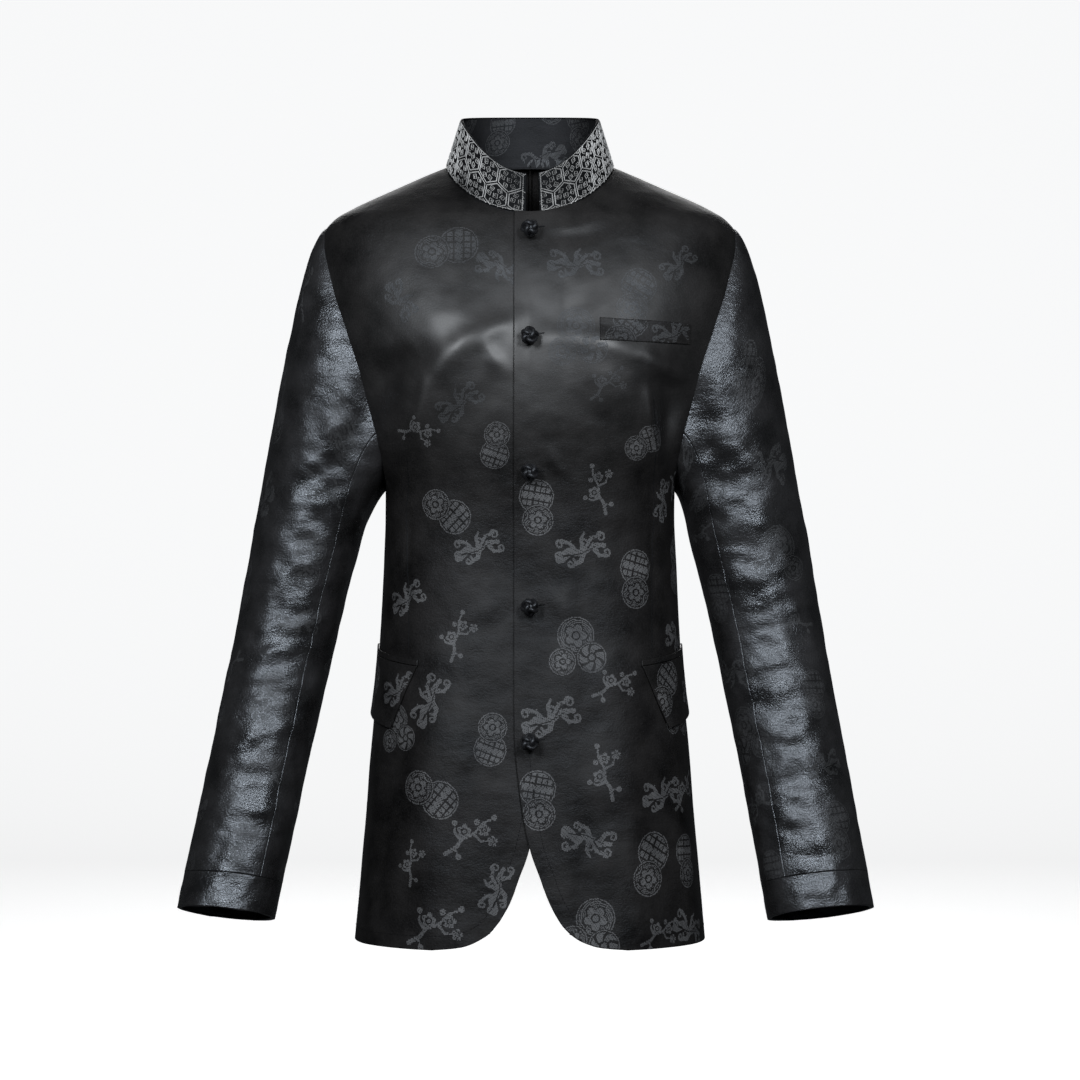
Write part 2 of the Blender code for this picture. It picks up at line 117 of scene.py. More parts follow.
def lamp(name, place, aim, size, watts, color=(1, 1, 1)):
    data = bpy.data.lights.new(name, "AREA")
    data.shape = "RECTANGLE"
    data.size, data.size_y = size
    data.energy = watts
    data.color = color
    made = bpy.data.objects.new(name, data)
    made.location = place
    made.rotation_euler = (Vector(aim) - Vector(place)).to_track_quat("-Z", "Y").to_euler()
    scene.collection.objects.link(made)
    return made


lamp("front_right", (-1.05, -2.35, 0.70), (-0.10, 0.0, -0.35), (0.50, 0.85), 40, (0.93, 0.965, 1.0))
lamp("front_left", (0.95, -2.40, 0.66), (0.10, 0.0, -0.35), (0.45, 0.85), 37, (0.93, 0.965, 1.0))
lamp("high", (0.0, -0.9, 2.6), (0.0, 0.0, -0.2), (1.6, 0.8), 5)
lamp("behind", (0.0, 2.4, 1.1), (0.0, 0.0, -0.35), (1.8, 1.2), 14)
room = bpy.data.worlds.new("room")
room.use_nodes = True
scene.world = room
nodes, links = room.node_tree.nodes, room.node_tree.links
nodes["Background"].inputs["Color"].default_value = (0.8, 0.85, 0.9, 1)
nodes["Background"].inputs["Strength"].default_value = 0.035
seen = nodes.new("ShaderNodeBackground")
seen.inputs["Strength"].default_value = 1.0
path = nodes.new("ShaderNodeLightPath")
choose = nodes.new("ShaderNodeMixShader")
links.new(path.outputs["Is Camera Ray"], choose.inputs["Fac"])
links.new(nodes["Background"].outputs["Background"], choose.inputs[1])
links.new(seen.outputs["Background"], choose.inputs[2])
links.new(choose.outputs["Shader"], nodes["World Output"].inputs["Surface"])
scene.view_settings.view_transform = "Standard"

# %% [markdown]
# ## The form of the body
#
# A jacket's body is close to a stack of level rings: narrow at the neck, wide over the
# shoulders, drawn in at the waist and flared to the hem. A few measured rings with smooth
# curves between them give any point of the cloth from two numbers, an angle round the body
# and a height. The same rule gives every panel, so neighbours always meet at their seam.

# %% Measured rings and smooth curves between them
HEM = -0.692
UNDERARM = -0.288
SHOULDER_TIP = -0.0551
SIDE_SEAM = 97.0
NECK_BACK_RISE = 0.0104
NECK_HALF_WIDTH = 0.0756
OVERLAP = 0.0136


def table(columns, *rows):
    return dict(zip(columns, np.array(rows, float).T))


RINGS = table(
    ("height", "half_width", "front", "back"),
    (0.0104, 0.0520, 0.006, 0.0560),
    (0.0050, 0.0642, 0.009, 0.0610),
    (0.0000, 0.0756, 0.013, 0.0655),
    (-0.0045, 0.0862, 0.0224, 0.0675),
    (-0.0165, 0.1130, 0.0404, 0.0715),
    (-0.0280, 0.1390, 0.0550, 0.0760),
    (-0.0375, 0.1590, 0.0660, 0.0795),
    (-0.0480, 0.1762, 0.0780, 0.0830),
    (-0.0600, 0.1855, 0.0855, 0.0860),
    (-0.0800, 0.1890, 0.0940, 0.0905),
    (-0.1100, 0.1880, 0.1040, 0.0955),
    (-0.1450, 0.1830, 0.1120, 0.0995),
    (-0.1850, 0.1730, 0.1170, 0.1010),
    (-0.2200, 0.1620, 0.1150, 0.0995),
    (-0.2500, 0.1490, 0.1090, 0.0960),
    (-0.2700, 0.1380, 0.1050, 0.0930),
    (-0.2880, 0.1300, 0.1020, 0.0900),
    (-0.3100, 0.1297, 0.0990, 0.0870),
    (-0.3530, 0.1314, 0.0975, 0.0840),
    (-0.4000, 0.1335, 0.0995, 0.0850),
    (-0.4500, 0.1365, 0.1045, 0.0900),
    (-0.5300, 0.1435, 0.1100, 0.0985),
    (-0.6100, 0.1500, 0.1150, 0.1055),
    (-0.6920, 0.1572, 0.1195, 0.1110),
)
ARMHOLE = table(
    ("turn", "angle"),
    *((0, 90), (20, 77), (40, 69.5), (60, 63), (80, 58), (100, 55.5), (120, 56.5)),
    *((140, 62), (155, 72), (168, 85), (180, 97), (192, 104), (205, 110.5), (220, 116)),
    *((240, 119.5), (260, 120.5), (280, 119.5), (300, 117), (320, 111.5), (340, 102)),
    (360, 90),
)
SLEEVE = table(
    ("height", "out", "forward", "half_width", "half_depth"),
    (-0.330, 0.1975, 0.0000, 0.0512, 0.0600),
    (-0.389, 0.2098, 0.0030, 0.0485, 0.0565),
    (-0.442, 0.2203, 0.0100, 0.0472, 0.0532),
    (-0.531, 0.2376, 0.0275, 0.0462, 0.0490),
    (-0.665, 0.2625, 0.0570, 0.0458, 0.0445),
)
FULLNESS = (
    (0.072, -0.172, 0.052, 0.055, 0.0075),
    (0.136, -0.213, 0.017, 0.028, -0.0100),
    (0.100, -0.560, 0.060, 0.090, 0.0030),
)
CUTAWAY = table(
    ("across", "height"),
    *((-0.0136, -0.470), (-0.0133, -0.500), (-0.0085, -0.556), (0.0003, -0.604)),
    *((0.0090, -0.6286), (0.0180, -0.652), (0.0355, -0.677), (0.0600, -0.689)),
    (0.0850, -0.692),
)


def between(places, values, at):
    order = np.argsort(places)
    places, values = places[order], values[order]
    step = np.diff(places)
    rise = np.diff(values) / step
    slope = np.zeros(len(places))
    same = rise[:-1] * rise[1:] > 0
    slope[1:-1][same] = 2 / (1 / rise[:-1][same] + 1 / rise[1:][same])
    slope[0], slope[-1] = rise[0], rise[-1]
    at = np.clip(at, places[0], places[-1])
    i = np.clip(np.searchsorted(places, at) - 1, 0, len(step) - 1)
    t = (at - places[i]) / step[i]
    return (
        values[i] * (1 + 2 * t) * (1 - t) ** 2
        + values[i + 1] * t**2 * (3 - 2 * t)
        + slope[i] * step[i] * t * (1 - t) ** 2
        - slope[i + 1] * step[i] * t**2 * (1 - t)
    )


def unit(v):
    return v / np.maximum(np.linalg.norm(v, axis=-1, keepdims=True), 1e-12)


print("waist", round(float(between(RINGS["height"], RINGS["half_width"], -0.353) * 2), 3), "m wide")

# %% Points and normals of the body


def ring(height):
    return [between(RINGS["height"], RINGS[name], height) for name in ("half_width", "front", "back")]


def plain_body(angle, height):
    turn = np.radians(angle)
    half_width, front, back = ring(height)
    square = 1 + 0.06 * np.sin(2 * turn) ** 2
    x = half_width * np.sin(turn) * square
    y = -np.where(np.cos(turn) > 0, front, back) * np.cos(turn) * square
    return np.stack([x, y, height + 0 * x], -1)


def body(angle, height):
    points = plain_body(angle, height)
    facing = np.clip(2 * np.cos(np.radians(angle)), 0, 1)
    for across, middle, reach, rise, forward in FULLNESS:
        away = ((np.abs(points[..., 0]) - across) / reach) ** 2
        away = away + ((height - middle) / rise) ** 2
        points[..., 1] -= forward * np.exp(-away) * facing
    return points


def angle_at(across, height, behind=False):
    ratio = across / ring(height)[0]
    turn = 0 * ratio
    for _ in range(14):
        turn = np.arcsin(np.clip(ratio / (1 + 0.06 * np.sin(2 * turn) ** 2), -1, 1))
    angle = np.degrees(turn)
    return 180 - angle if behind else angle


def outward(angle, height):
    step = 1e-3
    across = body(angle + step, height) - body(angle - step, height)
    up = body(angle, height + step) - body(angle, height - step)
    return unit(np.cross(across, up))


def armhole(turn):
    lift = (1 + np.cos(np.radians(turn))) / 2
    angle = between(ARMHOLE["turn"], ARMHOLE["angle"], np.mod(turn, 360))
    return angle, UNDERARM + (SHOULDER_TIP - UNDERARM) * lift


def neckline(turn):
    turn = np.asarray(turn, float)
    forward = np.cos(np.radians(turn))
    height = np.where(forward > 0, -0.048 * np.clip(forward, 0, 1) ** 1.35, NECK_BACK_RISE * forward**2)
    across = NECK_HALF_WIDTH * np.sin(np.radians(turn))
    angle = np.where(forward > 0, angle_at(across, height), angle_at(across, height, True))
    return angle, height


print("neck opening", NECK_HALF_WIDTH * 2, "m across")

# %% [markdown]
# ## Cloth sizes, so that the pattern is true to scale
#
# A woven figure has one size all over the bolt. To draw it true, each point of the cloth
# needs its place on the flat cloth in metres. Adding up short steps round the body and up it
# gives those distances, and they are stored as the UV map. Half a metre is added across, so
# that all the numbers stay between zero and one.

# %% Distances over the cloth
UV_MIDDLE = 0.5
grid_angle, grid_height = np.meshgrid(
    np.linspace(-20, 180, 201), np.linspace(HEM - 0.012, NECK_BACK_RISE, 190)
)
grid_place = plain_body(grid_angle, grid_height)


def added_up(points, axis):
    steps = np.linalg.norm(np.diff(points, axis=axis), axis=-1)
    start = np.zeros_like(np.take(steps, [0], axis=axis))
    return np.concatenate([start, np.cumsum(steps, axis=axis)], axis=axis)


run_across = added_up(grid_place, 1)
run_across -= run_across[:, 20:21]
run_up = added_up(grid_place, 0)


def on_flat_cloth(angle, height):
    column = np.clip((angle + 20) / 200, 0, 0.99999) * 200
    row = np.clip((height - grid_height[0, 0]) / (grid_height[-1, 0] - grid_height[0, 0]), 0, 0.99999) * 189
    i, j = row.astype(int), column.astype(int)
    s, t = row - i, column - j
    flat = []
    for run in (run_across, run_up):
        low = run[i, j] * (1 - t) + run[i, j + 1] * t
        high = run[i + 1, j] * (1 - t) + run[i + 1, j + 1] * t
        flat.append(low * (1 - s) + high * s)
    return np.stack([flat[0] + UV_MIDDLE, flat[1]], -1)


print("half round the hem:", round(float(run_across[3, -1]), 3), "m of cloth")

# %% Panels of the body, as grids of (angle, height)
SIDE_ROWS = 84
ARMHOLE_ROWS = 76
NECK_COLUMNS = 44
SHOULDER_COLUMNS = 40


def pairs(angle, height):
    return np.stack([angle, height + 0 * angle], -1)


def coons(left, right, bottom, top):
    u = np.linspace(0, 1, len(bottom))[None, :, None]
    v = np.linspace(0, 1, len(left))[:, None, None]
    near, far, low, high = (plain_body(edge[:, 0], edge[:, 1]) for edge in (left, right, bottom, top))
    middle = (1 - u) * near[:, None] + u * far[:, None]
    middle += (1 - v) ** 3.5 * (low - (1 - u) * low[0] - u * low[-1])
    middle += v**3.5 * (high - (1 - u) * high[0] - u * high[-1])
    height = middle[..., 2]
    half_width, front, back = ring(height)
    depth = np.where(middle[..., 1] < 0, front, back)
    angle = np.degrees(np.arctan2(middle[..., 0] / half_width, -middle[..., 1] / depth))
    grid = np.stack([angle, height], -1)
    grid[:, 0], grid[:, -1], grid[0], grid[-1] = left, right, bottom, top
    return grid


def side_edge(turns):
    share = np.linspace(0, 1, SIDE_ROWS + 1)[:-1] ** 1.08
    heights = HEM + (UNDERARM - HEM) * share
    return np.concatenate([pairs(SIDE_SEAM + 0 * heights, heights), pairs(*armhole(turns))])


def spread_like(edge, low, high):
    return low + (high - low) * (edge[:, 1] - edge[0, 1]) / (edge[-1, 1] - edge[0, 1])


def front_grid():
    right = side_edge(np.linspace(180, 0, ARMHOLE_ROWS + 1))
    corner = (CUTAWAY["across"][6], CUTAWAY["height"][6])
    first = math.degrees(math.asin(-OVERLAP / NECK_HALF_WIDTH))
    neck = np.linspace(first, 90, NECK_COLUMNS + 1)[:-1]
    shoulder = np.linspace(0, SHOULDER_TIP, SHOULDER_COLUMNS + 1)
    top = np.concatenate([pairs(*neckline(neck)), pairs(90 + 0 * shoulder, shoulder)])
    heights = spread_like(right, corner[1], top[0, 1])
    edge_x = np.where(heights < -0.47, between(CUTAWAY["height"], CUTAWAY["across"], heights), -OVERLAP)
    left = pairs(angle_at(edge_x, heights), heights)
    hem_angles = np.linspace(left[0, 0], SIDE_SEAM, len(top))
    hem_x = body(hem_angles, np.full(len(top), HEM))[:, 0]
    hem_z = np.where(hem_angles > 60, HEM, between(CUTAWAY["across"], CUTAWAY["height"], hem_x))
    bottom = pairs(hem_angles, hem_z)
    bottom[0], bottom[-1] = left[0], right[0]
    return coons(left, right, bottom, top)


def back_grid():
    left = side_edge(np.linspace(180, 360, ARMHOLE_ROWS + 1))
    heights = spread_like(left, HEM, NECK_BACK_RISE)
    opening = np.clip((-0.5 - heights) / (-0.5 - HEM), 0, 1)
    right = pairs(angle_at(0.034 * opening**1.15, heights, True), heights)
    shoulder = pairs(np.full(SHOULDER_COLUMNS, 90.0), np.linspace(SHOULDER_TIP, 0, SHOULDER_COLUMNS + 1)[:-1])
    top = np.concatenate([shoulder, pairs(*neckline(np.linspace(90, 180, NECK_COLUMNS + 1)))])
    top[SHOULDER_COLUMNS] = (90, 0)
    top[-1] = (180, NECK_BACK_RISE)
    bottom = pairs(np.linspace(SIDE_SEAM, right[0, 0], len(top)), np.full(len(top), HEM))
    return coons(left, right, bottom, top)


front, back = front_grid(), back_grid()
print("one front:", front.shape[:2], "points, one back:", back.shape[:2])

# %% [markdown]
# ## The sleeves and the collar
#
# A tailored sleeve is two strips, a wide upper and a narrow under one. It leaves the
# armhole, turns down and bends a little forward at the elbow. Rings along the arm give its
# lower part, and a smooth curve from each point of the armhole to the first ring gives its
# cap. The collar is a band that leans in from the neck seam.

# %% Points of the sleeve
FRONT_SLEEVE_SEAM = 126.0
BACK_SLEEVE_SEAM = 234.0
CUFF_EDGE = -0.665
CUFF_SEAM = -0.635
ARM_TOP = -0.33


def arm_ring(turn, height, width):
    out, forward, half_width, half_depth = (
        between(SLEEVE["height"], SLEEVE[name], height)
        for name in ("out", "forward", "half_width", "half_depth")
    )
    low = np.clip(height - 2e-3, CUFF_EDGE, None)
    high = np.clip(height + 2e-3, None, ARM_TOP)
    run_out, run_forward = (
        (between(SLEEVE["height"], SLEEVE[name], low) - between(SLEEVE["height"], SLEEVE[name], high))
        / (high - low)
        for name in ("out", "forward")
    )
    along = unit(np.stack([run_out, -run_forward, 0 * run_out - 1], -1))
    square_to = unit(np.stack([0.6 * run_out, -run_forward, 0 * run_out - 1], -1))
    outwards = unit(np.cross([0.0, -1.0, 0.0], square_to))
    forwards = np.cross(square_to, outwards)
    middle = np.stack([out + half_width * (1 - width), -forward, height], -1)
    angle = np.radians(turn)
    around = outwards * (half_width * width * np.cos(angle))[..., None]
    return middle + around + forwards * (half_depth * np.sin(angle))[..., None], along


def sleeve_cap(turn, part, width):
    end, along = arm_ring(turn, np.full(turn.shape, ARM_TOP), width)
    lift = (1 + np.cos(np.radians(turn))) / 2
    start = body(*armhole(turn)) + outward(*armhole(turn)) * (0.0022 * lift**2 - 0.0016)[..., None]
    leaving = unit(np.stack([0.72 + 0.13 * lift, -0.22 * np.sin(np.radians(turn)), -0.70 + 0.17 * lift], -1))
    reach = np.linalg.norm(end - start, axis=-1)[..., None]
    first = leaving * reach * (0.85 - 0.55 * lift)[..., None]
    t = part[..., None]
    return (
        start * (1 + 2 * t) * (1 - t) ** 2
        + end * t**2 * (3 - 2 * t)
        + first * t * (1 - t) ** 2
        - along * reach * 0.95 * t**2 * (1 - t)
    )


def sleeve_grid(turns, width, lean):
    parts = np.linspace(0, 1, 56)[:-1]
    cap = sleeve_cap(*np.broadcast_arrays(turns[None, :], parts[:, None]), width)
    heights = np.append(np.linspace(ARM_TOP, CUFF_SEAM, 100), np.linspace(CUFF_SEAM, CUFF_EDGE, 13)[1:])
    arm, _ = arm_ring(*np.broadcast_arrays(turns[None, :], heights[:, None]), width)
    points = np.concatenate([cap, arm])
    share = np.clip((ARM_TOP - points[..., 2]) / (ARM_TOP - CUFF_EDGE), 0, 1)
    points[..., 0] += lean * share**1.5
    return points


print("sleeve hangs to", CUFF_EDGE, "m")

# %% Points of the collar


def collar_point(turn, part):
    base = body(*neckline(turn))
    facing = np.radians(turn)
    forward = np.cos(facing)
    top_x = 0.0622 * np.sin(facing)
    top_y = -np.where(forward > 0, 0.0715, 0.0505) * forward
    top_z = 0.0425 - 0.0546 * np.clip(forward, 0, 1) ** 1.75 + 0.0088 * np.clip(-forward, 0, 1) ** 0.7
    top = np.stack([top_x, top_y, top_z], -1)
    base = base + unit(top - base) * 0.0012
    return base + (top - base) * part[..., None]


collar_turns = np.linspace(
    math.degrees(math.asin(0.0090 / NECK_HALF_WIDTH)),
    360 - math.degrees(math.asin(0.0035 / NECK_HALF_WIDTH)),
    181,
)
collar_outside = collar_point(*np.broadcast_arrays(collar_turns[None, :], np.linspace(0, 1, 23)[:, None]))
collar_length = float(added_up(collar_outside, 1)[11, -1])
collar_height = float(added_up(collar_outside, 0)[-1].mean())
print("collar", round(collar_length, 3), "m long and", round(collar_height, 3), "m high")

# %% [markdown]
# ## Creases
#
# Silk this crisp breaks into folds where the arm meets the chest, at the waist and down the
# sleeves. Each main crease is listed: where it starts and ends as seen from the front or from
# behind, how far it bows, how wide it is and how deep. A positive depth is a ridge and a
# negative one a trough. Small uneven waves from smooth noise go over everything, stretched
# sideways on the sleeves as real wrinkles are.

# %% The creases of each side
CREASES = {
    "front": (
        (0.000, -0.162, 0.098, -0.176, -0.008, 0.0110, 0.0036),
        (0.100, -0.174, 0.140, -0.192, 0.004, 0.0065, 0.0048),
        (0.119, -0.196, 0.124, -0.256, -0.003, 0.0110, -0.0085),
        (0.103, -0.205, 0.113, -0.262, 0.002, 0.0048, 0.0036),
        (0.030, -0.205, 0.090, -0.228, 0.008, 0.0170, -0.0016),
        (-0.012, -0.146, -0.088, -0.194, 0.008, 0.0110, 0.0038),
        (-0.040, -0.168, -0.022, -0.186, 0.002, 0.0060, 0.0018),
        (-0.098, -0.172, -0.134, -0.204, 0.004, 0.0130, -0.0075),
        (-0.090, -0.199, -0.110, -0.264, -0.002, 0.0060, 0.0028),
        (-0.040, -0.210, -0.088, -0.232, -0.006, 0.0150, -0.0018),
        (0.1085, -0.215, 0.1085, -0.436, 0.000, 0.0030, -0.0012),
        (-0.1075, -0.262, -0.1075, -0.436, 0.000, 0.0030, -0.0012),
        (0.020, -0.062, 0.060, -0.052, 0.003, 0.0045, 0.0014),
        (0.026, -0.070, 0.070, -0.062, 0.003, 0.0060, -0.0012),
        (-0.060, -0.300, -0.128, -0.312, 0.004, 0.0050, 0.0013),
        (-0.070, -0.318, -0.130, -0.330, -0.003, 0.0055, -0.0013),
        (0.070, -0.310, 0.128, -0.318, 0.003, 0.0050, 0.0012),
        (0.060, -0.330, 0.128, -0.345, -0.004, 0.0060, -0.0012),
        (0.016, -0.255, 0.030, -0.275, 0.003, 0.0060, 0.0014),
        (0.012, -0.380, 0.045, -0.398, 0.004, 0.0080, 0.0014),
        (-0.020, -0.385, -0.050, -0.400, -0.004, 0.0080, 0.0013),
        (0.030, -0.535, 0.085, -0.560, 0.006, 0.0120, 0.0012),
        (-0.070, -0.480, -0.085, -0.680, 0.010, 0.0220, 0.0022),
        (0.075, -0.520, 0.090, -0.690, -0.008, 0.0220, 0.0020),
        (0.110, -0.470, 0.128, -0.690, 0.006, 0.0160, -0.0022),
        (-0.112, -0.500, -0.132, -0.690, 0.006, 0.0160, -0.0020),
        (-0.010, -0.520, 0.010, -0.590, 0.004, 0.0100, -0.0010),
    ),
    "back": (
        (0.060, -0.110, 0.110, -0.190, 0.010, 0.0140, 0.0026),
        (-0.055, -0.115, -0.112, -0.200, -0.010, 0.0150, 0.0024),
        (0.085, -0.200, 0.118, -0.285, 0.006, 0.0090, -0.0028),
        (-0.090, -0.195, -0.116, -0.290, -0.006, 0.0090, -0.0026),
        (0.030, -0.330, 0.120, -0.345, 0.006, 0.0070, 0.0016),
        (-0.020, -0.345, -0.118, -0.330, 0.006, 0.0080, 0.0016),
        (0.040, -0.365, 0.125, -0.372, -0.004, 0.0080, -0.0015),
        (-0.035, -0.372, -0.120, -0.360, -0.004, 0.0080, -0.0014),
        (0.070, -0.480, 0.085, -0.690, 0.008, 0.0200, 0.0024),
        (-0.075, -0.470, -0.090, -0.690, -0.008, 0.0200, 0.0022),
        (0.000, -0.060, 0.035, -0.075, 0.004, 0.0100, -0.0010),
    ),
}
ARM_CREASES = {
    "left": (
        (0.150, -0.230, 0.205, -0.265, 0.006, 0.0074, 0.0015),
        (0.152, -0.262, 0.215, -0.300, 0.006, 0.0069, -0.0016),
        (0.160, -0.300, 0.205, -0.325, 0.004, 0.0064, 0.0014),
        (0.165, -0.340, 0.225, -0.352, -0.004, 0.0055, -0.0012),
        (0.172, -0.372, 0.222, -0.362, 0.004, 0.0055, 0.0011),
        (0.180, -0.415, 0.245, -0.402, 0.005, 0.0060, -0.0012),
        (0.186, -0.445, 0.232, -0.438, 0.004, 0.0055, 0.0012),
        (0.190, -0.480, 0.262, -0.462, 0.006, 0.0064, -0.0012),
        (0.205, -0.505, 0.250, -0.497, 0.004, 0.0046, 0.0010),
        (0.205, -0.550, 0.275, -0.535, 0.006, 0.0060, -0.0011),
        (0.215, -0.580, 0.262, -0.588, -0.004, 0.0055, 0.0011),
        (0.225, -0.612, 0.292, -0.600, 0.004, 0.0055, -0.0010),
        (0.175, -0.120, 0.200, -0.210, 0.006, 0.0129, 0.0012),
        (0.190, -0.190, 0.222, -0.215, 0.003, 0.0055, -0.0007),
    ),
    "right": (
        (-0.148, -0.215, -0.200, -0.250, -0.006, 0.0074, 0.0014),
        (-0.150, -0.250, -0.222, -0.290, -0.006, 0.0069, -0.0015),
        (-0.156, -0.292, -0.210, -0.305, -0.004, 0.0064, 0.0015),
        (-0.168, -0.330, -0.228, -0.345, 0.004, 0.0055, -0.0012),
        (-0.172, -0.360, -0.215, -0.352, -0.004, 0.0064, 0.0011),
        (-0.182, -0.398, -0.246, -0.388, -0.005, 0.0055, -0.0012),
        (-0.186, -0.430, -0.238, -0.436, 0.004, 0.0060, 0.0014),
        (-0.196, -0.470, -0.262, -0.458, -0.006, 0.0055, -0.0011),
        (-0.200, -0.500, -0.256, -0.512, 0.004, 0.0055, 0.0012),
        (-0.212, -0.540, -0.280, -0.532, -0.004, 0.0055, -0.0011),
        (-0.218, -0.572, -0.265, -0.565, -0.004, 0.0051, 0.0010),
        (-0.224, -0.600, -0.290, -0.612, 0.003, 0.0055, -0.0010),
        (-0.178, -0.110, -0.202, -0.215, -0.006, 0.0138, 0.0011),
    ),
}
print("creases placed:", sum(len(rows) for rows in (*CREASES.values(), *ARM_CREASES.values())))

# %% Bending the cloth along its creases


def folded(points, normals, rows, seen_from):
    """Distance to move each point along its normal, for creases seen from the front or back."""
    facing = -normals[..., 1] if seen_from == "front" else normals[..., 1]
    weight = np.clip(facing * 3, 0, 1)
    moved = np.zeros(points.shape[:-1])
    for x1, z1, x2, z2, bow, reach, depth in rows:
        start = np.array([x1, z1])
        run = np.array([x2, z2]) - start
        length = np.linalg.norm(run)
        here = points[..., [0, 2]] - start
        share = here @ run / length**2
        aside = (here[..., 0] * run[1] - here[..., 1] * run[0]) / length
        inside = np.clip(share, 0, 1)
        aside = aside - bow * 4 * inside * (1 - inside)
        ends = np.clip(share - inside, -1, 1) * length
        fade = np.sin(np.pi * (0.1 + 0.8 * inside)) ** 0.8 * np.exp(-((ends / reach) ** 2))
        moved += depth * fade * np.exp(-((aside / reach) ** 2))
    return moved * weight


def waves(points, stretch, size, seed):
    """Smooth uneven waves between about -1 and 1."""
    flat = points.reshape(-1, 3) / (np.array(stretch) * size) + seed
    values = [noise.noise(Vector(place)) for place in flat]
    return np.array(values).reshape(points.shape[:-1])


def creased(points, normals, rows, soft=0.0016, small=0.0005, stretch=(1, 1, 1), seed=3.0):
    """Creases plus waves, which die away where the cloth turns towards its outline."""
    level = 0.25 + 0.75 * np.abs(normals[..., 1])
    moved = folded(points, normals, rows["front"], "front")
    moved += folded(points, normals, rows["back"], "back")
    moved += soft * level * waves(points, stretch, 0.055, seed)
    moved += small * level * waves(points, stretch, 0.017, seed + 7)
    return moved


def edge_fade(shape, sides, cells):
    """1 inside a grid, falling to 0 at the named edges, so that seams stay closed."""
    rows, columns = shape
    fade = np.ones(shape)
    row, column = np.arange(rows)[:, None], np.arange(columns)[None, :]
    distance = {"bottom": row, "top": rows - 1 - row, "left": column, "right": columns - 1 - column}
    for side in sides:
        share = np.clip(distance[side] / cells, 0, 1)
        fade = fade * share**2 * (3 - 2 * share)
    return fade


print("noise ready:", round(noise.noise(Vector((0.3, 0.2, 0.1))), 3))

# %% [markdown]
# ## Finishes
#
# Mud silk is dyed and then glazed with river mud, which leaves a near-black, slightly
# leathery gloss with a cold sheen. Its grain is one node group used by every cloth: fine
# pores, faint threads and shallow rumples. The glaze is polished by rubbing, so every piece
# of cloth carries a value called rubbed, high on the sleeves and over the chest, which makes
# it glossier there. The woven figures are the same silk with duller, greyer floats. The
# thread of the collar is silver.

# %% The grain that all the cloths share


def new_group(name, inputs, outputs):
    group = bpy.data.node_groups.new(name, "ShaderNodeTree")
    for label, kind in inputs:
        group.interface.new_socket(label, in_out="INPUT", socket_type=kind)
    for label, kind in outputs:
        group.interface.new_socket(label, in_out="OUTPUT", socket_type=kind)
    return group, group.nodes.new("NodeGroupInput"), group.nodes.new("NodeGroupOutput")


def add(tree, kind, settings=(), **values):
    made = tree.nodes.new(kind)
    for name, value in dict(settings).items():
        setattr(made, name, value)
    for name, value in values.items():
        made.inputs[name.replace("_", " ")].default_value = value
    return made


def stretched(tree, vector, scale):
    made = add(tree, "ShaderNodeMapping")
    made.inputs["Scale"].default_value = scale
    tree.links.new(vector, made.inputs["Vector"])
    return made.outputs["Vector"]


def textured(tree, vector, size, detail=2.0, rough=0.5):
    made = add(tree, "ShaderNodeTexNoise", Detail=detail, Roughness=rough)
    made.inputs["Scale"].default_value = 1 / size
    tree.links.new(vector, made.inputs["Vector"])
    return made.outputs["Fac"]


def mixed_value(tree, first, second, weight):
    made = add(tree, "ShaderNodeMath", {"operation": "MULTIPLY_ADD"})
    made.inputs[1].default_value = weight
    tree.links.new(first, made.inputs[0])
    tree.links.new(second, made.inputs[2])
    return made.outputs["Value"]


def silk_grain():
    places = [("Place", "NodeSocketVector"), ("Flat Place", "NodeSocketVector")]
    group, entry, leaving = new_group(
        "silk_grain", places, [("Height", "NodeSocketFloat"), ("Tone", "NodeSocketFloat")]
    )
    place, flat = entry.outputs["Place"], entry.outputs["Flat Place"]
    pores = textured(group, place, 0.0016, 3.0, 0.65)
    threads = textured(group, stretched(group, flat, (1, 3, 1)), 0.0032, 1.0)
    rumple = textured(group, stretched(group, place, (1, 1, 1.7)), 0.026, 4.0, 0.5)
    height = mixed_value(group, threads, pores, 0.4)
    height = mixed_value(group, rumple, height, 4.0)
    group.links.new(height, leaving.inputs["Height"])
    tone = mixed_value(group, pores, textured(group, place, 0.035, 3.0), 0.5)
    group.links.new(tone, leaving.inputs["Tone"])
    return group


grain = silk_grain()
print("grain group puts out", [s.name for s in grain.interface.items_tree if s.in_out == "OUTPUT"])

# %% Cloth, figure, silver and cord


